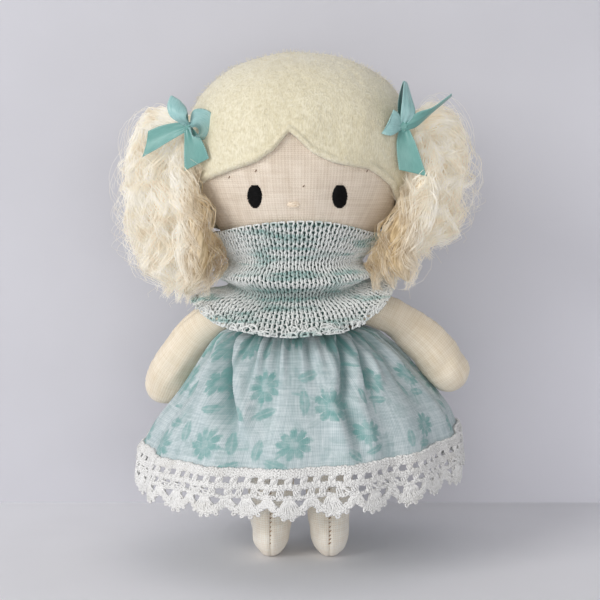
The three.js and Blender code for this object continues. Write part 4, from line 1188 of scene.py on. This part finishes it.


# %% Loose loops at the hem, and the dark layer behind the stitches that paints the shade in their gaps
edge_lines, edge_lengths = [], []
for _ in range(LOOSE_LOOPS):
    turn, size = chance.uniform(0, 1), chance.uniform(0.8, 2.0)
    angle = np.linspace(0, chance.uniform(4.0, 6.4), 15) + chance.uniform(-0.6, 0.6)
    centre = chance.uniform(0.92, 1.005)
    aside = turn + size * 0.8 * np.sin(angle + chance.uniform(-0.4, 0.4)) / 180
    line = cowl_at(aside, centre + size / 42 * np.cos(angle), 0.1 + size * 0.35 * np.sin(angle * 0.5))
    edge_lines.append(line)
    edge_lengths.append(np.arange(15) * 0.5)
edge = threads("cowl_loose_loops", edge_lines, LOOSE_YARN_RADIUS, yarn, along=edge_lengths)
finished(edge, yarn, "torso", "knit")

painted_shade_knit = Finish("painted_shade_knit", 1.0)
u, v, _ = painted_shade_knit.parts(painted_shade_knit.map())
ribs = (u * (TURN / 1.3)).sin() * 0.25 + (v * (TURN / 1.5)).sin() * 0.25 + 0.5
cloud = painted_shade_knit.noise(painted_shade_knit.place(), 1.2, 3.0)
# painted shade: the layer behind the stitches is dark teal, for the shade in their gaps
painted_shade_knit.colour(painted_shade_knit.mix(shade(50, 76, 73), shade(102, 130, 125), ribs * 0.5 + cloud * 0.4))
painted_shade_knit.relief(ribs, 0.3)
turn, down = np.meshgrid(np.arange(168) / 168, np.linspace(0.012, 0.955, 60))
points = cowl_at(turn, down, grow=-1.1)
shade_backing = thicken(closed_piece("cowl_painted_shade_layer", points, flip=True), SHADE_LAYER)
finished(shade_backing, painted_shade_knit, "torso", "knit", "cowl")


# %% [markdown]
# ## Curly mohair pigtails
# Each pigtail is a bunch of long mohair locks, tied at the side of the head. A lock is a few dozen fibres
# that curl together, so each lock gets its own wide, uneven helix round the bunch, and each fibre a small
# place in the lock. A slimmer bunch of the same kind falls in front, beside the face. Loose single fibres
# stand off. The locks are creamy white, with golden-brown painted shade where they lie against the face,
# and a weak painted glow stands in for light passing through thin hair. A soft core of matted hair fills
# the middle, so that no light shows through.

# %% Lines of the locks
PIGTAIL_X, PIGTAIL_Y = [30, 36.0, 39.8, 40.2, 38.8, 37.2, 36], [0, 0.6, 2.1, 1.2, -2, -3, -3]
pigtail_radius = through(
    [0, 0.02, 0.075, 0.125, 0.17, 0.27, 0.42, 0.6, 0.8, 0.93, 1.02],
    [1.2, 2.4, 2.4, 2.9, 6.0, 8.2, 9.8, 10.4, 9.6, 7.2, 3.6],
)
cheek_radius = through([0, 0.12, 0.3, 0.6, 0.85, 1], [1.5, 2.4, 3.8, 4.6, 4.2, 2.2])


def hair_line(knots):
    """A smooth line through knots in mm that goes on downwards past its end."""
    knots = np.array(knots, float)
    places = lengths_along(knots)
    line = through(places / places[-1], knots)
    return lambda share: line(np.clip(share, 0, 1)) + np.clip(share - 1, 0, 1)[:, None] * (0, 0, -55)


def pigtail_line(side, heights):
    across = np.array(PIGTAIL_X) * (0.95 if side > 0 else -1)
    return hair_line(np.stack([across, PIGTAIL_Y, heights], -1))


def across_of(side, line, share):
    """The middle of a bunch, and its directions outwards and forwards."""
    centre = line(share)
    way = unit(np.gradient(centre, axis=0))
    outward = unit(np.array([side, 0.0, 0.0]) - way * (way @ [side, 0.0, 0.0])[:, None] + 1e-6)
    return centre, outward, np.cross(way, outward)


def lock(side, line, radius, chance, share, around, reach, curl, turns):
    """The middle line of one lock, its cross directions and its phase."""
    centre, outward, forward = across_of(side, line, share)
    grown = np.clip((share - 0.1) / 0.2, 0, 1)
    uneven = chance.uniform(0.4, 1.1) * np.sin(share * chance.uniform(6, 14) + chance.uniform(0, TURN))
    phase = chance.uniform(0, TURN) + chance.choice([-1, 1]) * turns * TURN * share + uneven
    wide = curl * (0.7 + 0.45 * share) * grown * (1 + 0.3 * np.sin(share * 17 + phase[0]))
    drift = around + 0.5 * np.sin(share * 5 + phase[0])
    out = radius(share) * reach * np.cos(drift) + wide * np.cos(phase)
    front = radius(share) * reach * np.sin(drift) + wide * np.sin(phase)
    return centre + outward * out[:, None] + forward * front[:, None], outward, forward, phase, grown


def fibres_of_lock(side, line, radius, chance, share, count, thickness, **shape):
    """Fibres that curl with their lock, close together at its tip."""
    middle, outward, forward, phase, grown = lock(side, line, radius, chance, share, **shape)
    taper = np.interp(np.linspace(0, 1, len(share)), [0, 0.25, 0.8, 1], [0.5, 1, 0.8, 0.35])
    fibres, tones = [], []
    for _ in range(count):
        angle, spread = chance.uniform(0, TURN), thickness * chance.uniform(0, 1) ** 0.6
        turn = angle + 0.35 * phase
        frizz = 0.42 * grown * np.sin(share * chance.uniform(14, 36) + chance.uniform(0, TURN))
        out = spread * taper * np.cos(turn) + frizz
        front = spread * taper * np.sin(turn) + frizz * chance.uniform(-1, 1)
        points = middle + outward * out[:, None] + forward * front[:, None]
        points[:, 2] += 30 * (chance.uniform(-0.04, 0.04) * np.linspace(0, 1, len(share)))
        fibres.append(points)
        tones.append(np.full(len(share), chance.uniform(0, 1)))
    return fibres, tones


def tone_and_face_shade(points, side, tone):
    """How golden a fibre is: a little by its own tone, and most as painted shade on the side of the face,
    below the eyes.
    """
    inner = np.clip((35.0 - side * points[..., 0]) / 8.5, 0, 1)
    low = np.clip((122 - points[..., 2]) / 9, 0, 1) * np.clip((points[..., 2] - 76) / 12, 0, 1)
    return np.clip(0.1 * tone + inner * low * (0.45 + 0.65 * tone), 0, 1)


# half widths of the cowl at some heights, its top with room for the hair, its shift and its depth as a share
COLLAR = [76, 80, 84, 88.6, 92.8, 97], [29, 25.5, 25.2, 21.6, 25, 27.5]
COLLAR_TOP, COLLAR_SHIFT, COLLAR_DEPTH = 101, 1.2, 0.91


def clear_of_head(points, room):
    """Moves hair out of the felt and the cowl."""
    flat = points.reshape(-1, 3).copy()
    half = np.array(HEAD_HALF) + FELT_OUT + room
    inside = np.linalg.norm((flat - HEAD_CENTRE) / half, axis=1)
    scale = np.where(inside < 1, 1 / np.maximum(inside, 0.3), 1)[:, None]
    flat = HEAD_CENTRE + (flat - HEAD_CENTRE) * scale
    half = np.interp(flat[:, 2], *COLLAR)
    collar = np.hypot((flat[:, 0] + COLLAR_SHIFT) / half, flat[:, 1] / (COLLAR_DEPTH * half))
    low = (flat[:, 2] < COLLAR_TOP) & (collar < 1)
    flat[low, :2] /= np.maximum(collar[low], 0.3)[:, None]
    return flat.reshape(points.shape)


# %% Locks of the pigtails and beside the face
def bunch(side, line, radius, seed, locks, count, curls, reaches, points_each=20):
    """The fibres of one bunch, with their tone and width."""
    chance = np.random.default_rng(seed)
    fibres, tones = [], []
    for index in range(locks):
        last = chance.uniform(0.84, 1.06) if index % 5 else chance.uniform(0.4, 0.75)
        made = fibres_of_lock(
            side, line, radius, chance, np.linspace(0.05, last, points_each), count,
            chance.uniform(1.4, 2.8), around=chance.uniform(0, TURN),
            reach=chance.uniform(*reaches[index % len(reaches)]),
            curl=chance.uniform(*curls), turns=chance.uniform(2.0, 5.0) / last ** 0.5,
        )
        fibres += made[0]
        tones += made[1]
    fibres = [clear_of_head(points, 0.3) for points in fibres]
    tones = [tone_and_face_shade(points, side, tone) for points, tone in zip(fibres, tones)]
    widths = [np.interp(np.linspace(0, 1, len(f)), [0, 0.1, 0.85, 1], [0.8, 1, 0.9, 0.35]) for f in fibres]
    return fibres, tones, widths


def wisps(side, line, radius, seed, count):
    """Loose fibres that stand off a bunch in wide bends."""
    chance = np.random.default_rng(seed)
    made = []
    for _ in range(count):
        first = chance.uniform(0.05, 0.75)
        share = np.linspace(first, first + chance.uniform(0.15, 0.4), 15)
        middle = lock(side, line, radius, chance, share, around=chance.uniform(-2.6, 2.6),
                      reach=chance.uniform(0.85, 1.45), curl=chance.uniform(1.5, 4.5),
                      turns=chance.uniform(1, 4))[0]
        made.append(clear_of_head(middle, 0.5))
    return made


def hair_tones(finish, streak, pale, gold, gold_from):
    """Pale hair that turns golden by the piece's own tone, which holds painted shade near the face, with a
    weak painted glow, emission that stands in for light through thin hair.
    """
    light = finish.mix(shade(*pale[0]), shade(*pale[1]), streak.step(0.3, 0.65))
    tone_and_shade_gold = finish.mix(shade(*gold[0]), shade(*gold[1]), streak.step(gold_from, 0.65))
    blonde = finish.mix(light, tone_and_shade_gold, finish.own("tone"))
    finish.colour(blonde)
    finish.feed("Emission Color", blonde)


# both hair finishes glow weakly: a painted glow that stands in for light passing through thin hair
mohair = Finish("mohair", 0.6, Sheen_Weight=0.4, Sheen_Roughness=0.4, Emission_Strength=0.13)
hair_tones(mohair, mohair.noise(mohair.place(), 5.0), [(246, 236, 216), (255, 252, 243)],
           [(166, 136, 88), (214, 190, 146)], 0.35)
matted = Finish("matted_mohair", 0.9, Emission_Strength=0.1)
strands = matted.noise(matted.stretched(matted.map(), (1.0, 0.16, 1)), 0.45, 3.0)
hair_tones(matted, strands, [(206, 190, 160), (250, 242, 226)], [(146, 118, 76), (200, 174, 128)], 0.3)
matted.relief(strands, 0.5)

LOCK_THREAD, CHEEK_THREAD, WISP_THREAD = 0.088, 0.085, 0.036  # radii of the threads of hair, in mm
CORE_TONE, WISP_TONE = 0.55, 0.2


def hair_core(name, side, line, radius, seed, size=0.8):
    """The matted middle of a bunch: a lumpy closed form with its tone, painted shade near the face, on its
    points.
    """
    turn, share = np.meshgrid(np.arange(60) / 60, np.linspace(0.06, 1.0, 70))
    centre, outward, forward = (a[:, None] for a in across_of(side, line, share[:, 0]))
    around = turn[..., None] * TURN + 2.2 * share[..., None]
    lumps = 1 + 0.12 * np.sin(3 * around + 14 * share[..., None] + seed)
    lumps = lumps + 0.07 * np.sin(7 * around - 23 * share[..., None])
    closing = np.sqrt(np.clip(1 - np.clip((share - 0.86) / 0.14, 0, 1) ** 2, 1e-4, 1))
    out = (size * radius(share) * closing)[..., None] * lumps
    points = centre + outward * out * np.cos(around) + forward * out * np.sin(around)
    points = clear_of_head(points, 0.2)
    core = closed_piece(name, points, merge=False)
    point_values(core.data, "tone", tone_and_face_shade(points, side, CORE_TONE))
    finished(core, matted, "head", "mohair")


# the hair behind the cheek, which fills the hollow beside the neck of the cowl
UNDER = [(31, -4, 124), (30, -7, 112), (27, -9, 101), (24, -9, 93), (24, -9, 87), (25, -10, 81)]
PIGTAILS = [
    (1, "left", [127.8, 128.8, 127.4, 119.5, 110, 101, 93], 91,
     [(34, -7, 128), (36, -12, 120), (35, -16, 109), (29.5, -20, 99), (28, -21, 91), (31, -19, 84)]),
    (-1, "right", [127.8, 128.8, 127.4, 118, 105, 92, 82], 92,
     [(-32, -7, 128), (-33, -12, 120), (-32, -16, 109), (-29.5, -18, 98), (-30, -17, 88), (-33, -16, 80)]),
]
for side, name, heights, seed, cheek in PIGTAILS:
    line, cheek_line = pigtail_line(side, heights), hair_line(cheek)
    hair_core(f"{name}_pigtail_core", side, line, pigtail_radius, seed)
    hair_core(f"{name}_cheek_core", side, cheek_line, cheek_radius, seed, size=0.7)
    under_line = hair_line([(side * x - 1.3, y, z) for x, y, z in UNDER])
    fibres, tones, widths = bunch(side, line, pigtail_radius, seed, locks=104, count=24, curls=(1.1, 2.9),
                                  reaches=[(0.72, 1.0), (0.78, 1.06), (0.45, 0.75)])
    third = len(fibres) // 3
    for part in range(3):
        chosen = slice(part * third, (part + 1) * third if part < 2 else None)
        hair = threads(f"{name}_pigtail_locks_{part}", fibres[chosen], LOCK_THREAD, mohair, sides=3,
                       widths=widths[chosen], tone=tones[chosen])
        finished(hair, mohair, "head", "mohair", *([f"{name}_pigtail"] if part == 0 else []))
    cheek_hair = bunch(side, cheek_line, cheek_radius, seed + 20, locks=20, count=22, curls=(0.9, 2.2),
                       reaches=[(0.5, 0.95)])
    more = bunch(side, under_line, cheek_radius, seed + 30, locks=14, count=18, curls=(0.8, 2.0),
                 reaches=[(0.3, 0.95), (0.6, 1.5)])
    fibres, tones, widths = (first + second for first, second in zip(cheek_hair, more))
    hair = threads(f"{name}_cheek_locks", fibres, CHEEK_THREAD, mohair, sides=3, widths=widths,
                   tone=tones)
    finished(hair, mohair, "head", "mohair")
    loose = wisps(side, line, pigtail_radius, seed + 5, count=520)
    loose += wisps(side, cheek_line, cheek_radius, seed + 9, count=60)
    tones = [tone_and_face_shade(points, side, WISP_TONE) for points in loose]
    hair = threads(f"{name}_hair_wisps", loose, WISP_THREAD, mohair, sides=3, tone=tones)
    finished(hair, mohair, "head", "mohair")


# %% [markdown]
# ## Satin bows
# A bow is one satin ribbon of 6.5 mm. Its loops and tails are ruled surfaces: each is drawn by the lines of
# its two woven edges, which come together in the knot. A satin face reflects in streaks along its length;
# its colour holds painted sheen in lighter and darker streaks and clouds, its loops are a lighter copy as a
# painted highlight, and the inside of each loop is painted in shade. The small loops of its edges show as a
# dotted line.

# %% Ribbon between two edges
RIBBON_WIDTH, RIBBON_THICKNESS = 6.5, 0.14
RIBBON_ROWS, RIBBON_COLUMNS, RIBBON_CROWN = 46, 13, 0.5


def ribbon(name, *edges):
    """A strip between two edges, crowned across, with pleats where it enters the knot."""
    share = np.linspace(0, 1, RIBBON_ROWS)
    low, high = (through(np.linspace(0, 1, len(edge)), edge)(share) for edge in edges)
    across = np.linspace(0, 1, RIBBON_COLUMNS)[None, :, None]
    points = low[:, None] * (1 - across) + high[:, None] * across
    along = np.gradient((low + high) / 2, axis=0)
    normal = unit(np.cross(high - low, along))[:, None]
    width = np.linalg.norm(high - low, axis=1)[:, None, None]
    arch = RIBBON_CROWN * np.sin(across * math.pi) * np.clip(width / 6, 0, 1)
    pleats = 0.4 * np.exp(-(width - 1.5) / 1.6) * np.sin(across * TURN * 2.5)
    points = points + normal * (arch + pleats)
    flat_map = cloth_map_of(points, False)
    flat_map[..., 0] = np.linspace(0, RIBBON_WIDTH, RIBBON_COLUMNS)
    return grid_piece(name, points, flat_map, wrap=False, merge=False)


def knot_wrap(name, size):
    """The band of ribbon that is drawn tight round the middle, in soft pleats."""
    turn, tilt = np.meshgrid(np.linspace(0, TURN, 49)[:-1], np.linspace(-math.pi / 2, math.pi / 2, 25))
    pleat = 1 + 0.07 * np.sin(5 * turn + 1.2 * np.sin(tilt * 2)) * np.cos(tilt)
    x = size[0] * np.cos(tilt) ** 0.7 * np.cos(turn) * pleat
    y = size[1] * np.cos(tilt) ** 0.7 * np.sin(turn) * pleat
    points = np.stack([x, y, size[2] * np.sin(tilt)], -1)
    return closed_piece(name, points)


def satin_finish(name, dark, light):
    satin = Finish(name, 0.34, Sheen_Weight=0.3, Sheen_Roughness=0.35, Anisotropic=0.5)
    u, v, _ = satin.parts(satin.map())
    floats = satin.noise(satin.joined(u / 0.12, v / 2.5), 1.0, 3.0)
    cloud = satin.noise(satin.place(), 3.0)
    edge = (u - RIBBON_WIDTH / 2).size().step(2.8, 3.05)
    loops = edge * ((v * (TURN / 0.62)).sin() * 0.5 + 0.5)
    # painted sheen: the satin is lighter and darker in streaks along its floats and in soft clouds
    base = satin.mix(shade(*dark), shade(*light), floats.step(0.3, 0.7) * 0.4 + cloud * 0.5)
    # painted shade: a loop is darker where its inside value is high
    base = satin.mix(base, shade(30, 92, 88), satin.own("inside") * 0.8)
    satin.colour(satin.mix(base, shade(176, 216, 212), loops * 0.7))
    satin.rough(0.27 + edge * 0.35 + floats * 0.08)
    satin.relief(floats * 0.25 + loops * 0.75, 0.12)
    return satin


# the loops take a lighter copy of the satin than the tails: painted highlight
tail_satin = satin_finish("satin_tails", (90, 144, 138), (124, 176, 169))
lit_loop_satin = satin_finish("satin_loops_painted_highlight", (112, 168, 166), (190, 222, 222))

# %% Two loops, two tails and a knot for each bow
ring = np.linspace(0.35, TURN - 0.35, 9)
ring_pull = np.exp(-((np.minimum(ring, TURN - ring) - 0.35) / 0.35) ** 2)[:, None]


def open_loop(centre, radius, tilt):
    """An edge of a round loop that starts and ends near the knot."""
    angle = tilt - ring
    circle = np.stack([radius * np.cos(angle), 0 * angle, radius * np.sin(angle)], -1) + centre
    return circle * (1 - ring_pull) + np.array([0.5, -0.4, 0.1]) * ring_pull


# where each knot is and how large, and the two edges of its outer and lower tail and of its two loops
BOWS = [
    ("right", (-31.9, -16.8, 128.2), (0.95, 0.95, 1.3), [
        ([(0, 0, 1.2), (-4, 1, 1.0), (-8, 2.4, 0.2), (-11.7, 4, -1.2)],
         [(0, -0.4, -1.2), (-5, 0.8, -4), (-9.5, 2.6, -6.6), (-13.5, 4.4, -8.7)]),
        ([(-1, -0.3, 0), (-0.9, -1.4, -4), (-1, -1.8, -8), (-0.9, -1.6, -12.6)],
         [(1, -0.6, 0), (3.5, -2.2, -3), (5.1, -2.9, -6), (6.2, -3.0, -9)]),
        ([(-0.8, -0.4, 0.3), (-4.6, -2, 2.6), (-5.6, -1.8, 5.8), (-4.6, -0.3, 8.7), (-5, 1.2, 5.6),
          (-3.6, 1.4, 2.6), (-0.6, 0.6, 0.3)],
         [(0.6, -0.6, 0.6), (-0.2, -2.8, 2.4), (0.1, -2.4, 4.0), (-0.5, -0.4, 5.4), (-0.2, 1.6, 4),
          (0, 1.6, 2.4), (0.3, 0.6, 0.5)]),
        (open_loop((2.2, -4.0, -1.5), 1.3, math.pi), open_loop((3.7, -0.2, 0.6), 4.4, math.pi)),
    ]),
    ("left", (29.4, -17.2, 128.2), (1.5, 1.3, 2.0), [
        ([(0, -0.6, 1.2), (3.8, -1.4, 3.9), (8.2, -2, 5.4), (13.3, -2.4, 9.1)],
         [(0, -1.2, -1.2), (3.6, 0.6, -0.2), (8, 2.6, 3.6), (13.2, 3.4, 8.5)]),
        ([(-1.2, -0.4, -0.6), (-2, -1.4, -4), (-1.9, -1.8, -8), (-1.3, -1.6, -12.3)],
         [(1.4, -0.6, -0.4), (3.4, -2.2, -5), (5, -2.4, -9.5), (6.6, -2, -14.1)]),
        ([(-1, -0.4, 0.4), (-1.0, -2.8, 4), (-0.6, -3.2, 8), (-0.2, -2, 12.6), (-1.4, -0.6, 8.5),
          (-1.6, 0.4, 4), (-0.6, 0.6, 0.5)],
         [(1, -0.6, 0.6), (3.2, -1.0, 3.6), (2.2, -0.6, 8), (1.0, 1.6, 12.0), (1.4, 2.4, 8),
          (1.4, 2.0, 4), (0.6, 0.6, 0.6)]),
        ([(-0.4, -0.4, 1), (-1.6, -2.6, 3.6), (-3.2, -3.4, 4.6), (-1.8, -0.6, 3.4), (-0.4, 0.4, 0.8)],
         [(-0.4, -0.8, -0.8), (-3.6, -3.8, -2.6), (-6.5, -4, -2), (-4, -1.2, -2), (-0.4, 0.2, -0.8)]),
    ]),
]
share, across = np.mgrid[0:1:RIBBON_ROWS * 1j, 0:1:RIBBON_COLUMNS * 1j]
for name, knot, size, strips in BOWS:
    for part, edges in zip(("tail_outer", "tail_lower", "loop_upper", "loop_round"), strips):
        strip = ribbon(f"{name}_bow_{part}", *(np.array(edge) + knot for edge in edges))
        # painted shade: the far half of a loop is painted darker as its shaded inside, and the right round
        # loop along one edge
        inside = np.clip((share - 0.5) / 0.12, 0, 1) if "loop" in part else 0 * share
        if (name, part) == ("right", "loop_round"):
            inside = np.clip(1 - across / 0.3, 0, 1)
        point_values(strip.data, "inside", inside)
        thicken(strip, RIBBON_THICKNESS).modifiers["cloth"].offset = 0
        finished(strip, lit_loop_satin if "loop" in part else tail_satin, "head", "satin")
    wrap = knot_wrap(f"{name}_bow_knot", size)
    wrap.data.transform(Matrix.Translation(Vector(knot) * MM))
    finished(wrap, tail_satin, "head", "satin", f"{name}_bow")


# %% [markdown]
# ## Hair ties and waist elastic
# A hair tie is fine cord, wound a few times round the roots of the locks. The elastic is a narrow woven band
# inside the top of the skirt, ruffled by its gathers.

# %% Wound cord and ruffled band
elastic = spun("elastic_cord", 0.8, (206, 204, 200), (246, 245, 242), size=0.4, steps=(0.3, 0.65),
               stretch=(1, 1, 3), Sheen_Weight=0.2)
TIE_SPAN, TIE_POINTS, TIE_TURNS = (0.062, 0.108), 180, 5
TIE_OUT, CORD_RADIUS = 2.95, 0.36
for side, name, heights, _, _ in PIGTAILS:
    centre = pigtail_line(side, heights)(np.linspace(*TIE_SPAN, TIE_POINTS))
    way = unit(np.gradient(centre, axis=0))
    up = unit(np.array([0, 0, 1.0]) - way * way[:, 2:])
    aside = np.cross(way, up)
    wind = np.linspace(0, TIE_TURNS * TURN, TIE_POINTS)
    coil = centre + TIE_OUT * (up * np.cos(wind)[:, None] + aside * np.sin(wind)[:, None])
    tie = threads(f"{name}_tie_cord", [coil], CORD_RADIUS, elastic, sides=7)
    finished(tie, elastic, "head", "elastic", f"{name}_hair_tie")

BAND_TOP, BAND_FOOT, BAND_HALF = 68.9, 64.9, (15.9, 11.7)
angle, height = np.meshgrid(np.arange(360) / 360 * TURN, np.linspace(BAND_TOP, BAND_FOOT, 9))
wave = 0.22 * np.sin(angle * 58) + 0.1 * np.sin(height * 6)
points = np.stack([(BAND_HALF[0] + wave) * np.cos(angle), (BAND_HALF[1] + wave) * np.sin(angle), height], -1)
band = thicken(closed_piece("waist_band", points, flip=True), BAND)
finished(band, elastic, "torso", "elastic", "waist_elastic")

# %% [markdown]
# ## Floor and wall
# The doll stands on a pale matt surface in front of a pale wall, both slightly uneven. The wall is painted
# lighter towards the lower right, as a painted patch of light. The wall has no back: seen from behind it lets
# the view through, so that the doll can be looked at from every side.

# %% Floor and wall
EDGE, WALL_Y = 900, 58
for name, corners, colour in [
    ("floor", [(-EDGE, -EDGE, 0), (EDGE, -EDGE, 0), (EDGE, EDGE, 0), (-EDGE, EDGE, 0)], shade(236, 236, 240)),
    ("wall", [(-EDGE, WALL_Y, 0), (EDGE, WALL_Y, 0), (EDGE, WALL_Y, EDGE), (-EDGE, WALL_Y, EDGE)],
     shade(206, 206, 213)),
]:
    matt = Finish(name + "_paint", 0.85)
    spot = matt.place()
    grain = matt.noise(spot, 60.0, 3.0)
    paint = matt.mix(tuple(c * 0.96 for c in colour), colour, grain.step(0.3, 0.7))
    if name == "wall":
        x, _, z = matt.parts(spot)
        # painted light: the wall is painted lighter towards the lower right
        painted_light_patch = x.step(15.0, 100.0) * (1 - z.step(40.0, 170.0))
        paint = matt.mix(paint, tuple(min(1.0, c * 1.3) for c in colour), painted_light_patch)
        behind = matt.node("ShaderNodeNewGeometry", {}, {}, "Backfacing")
        clear = matt.node("ShaderNodeBsdfTransparent", {}, {})
        front = Number(matt, matt.shader.outputs[0])
        shown = matt.node("ShaderNodeMixShader", {}, {0: behind, 1: front, 2: clear})
        matt.tree.links.new(shown.socket, matt.tree.nodes["Material Output"].inputs["Surface"])
    matt.colour(paint)
    plane = piece_from(name, corners, np.array([[0, 1, 2, 3]]))
    plane.data.materials.append(matt.material)
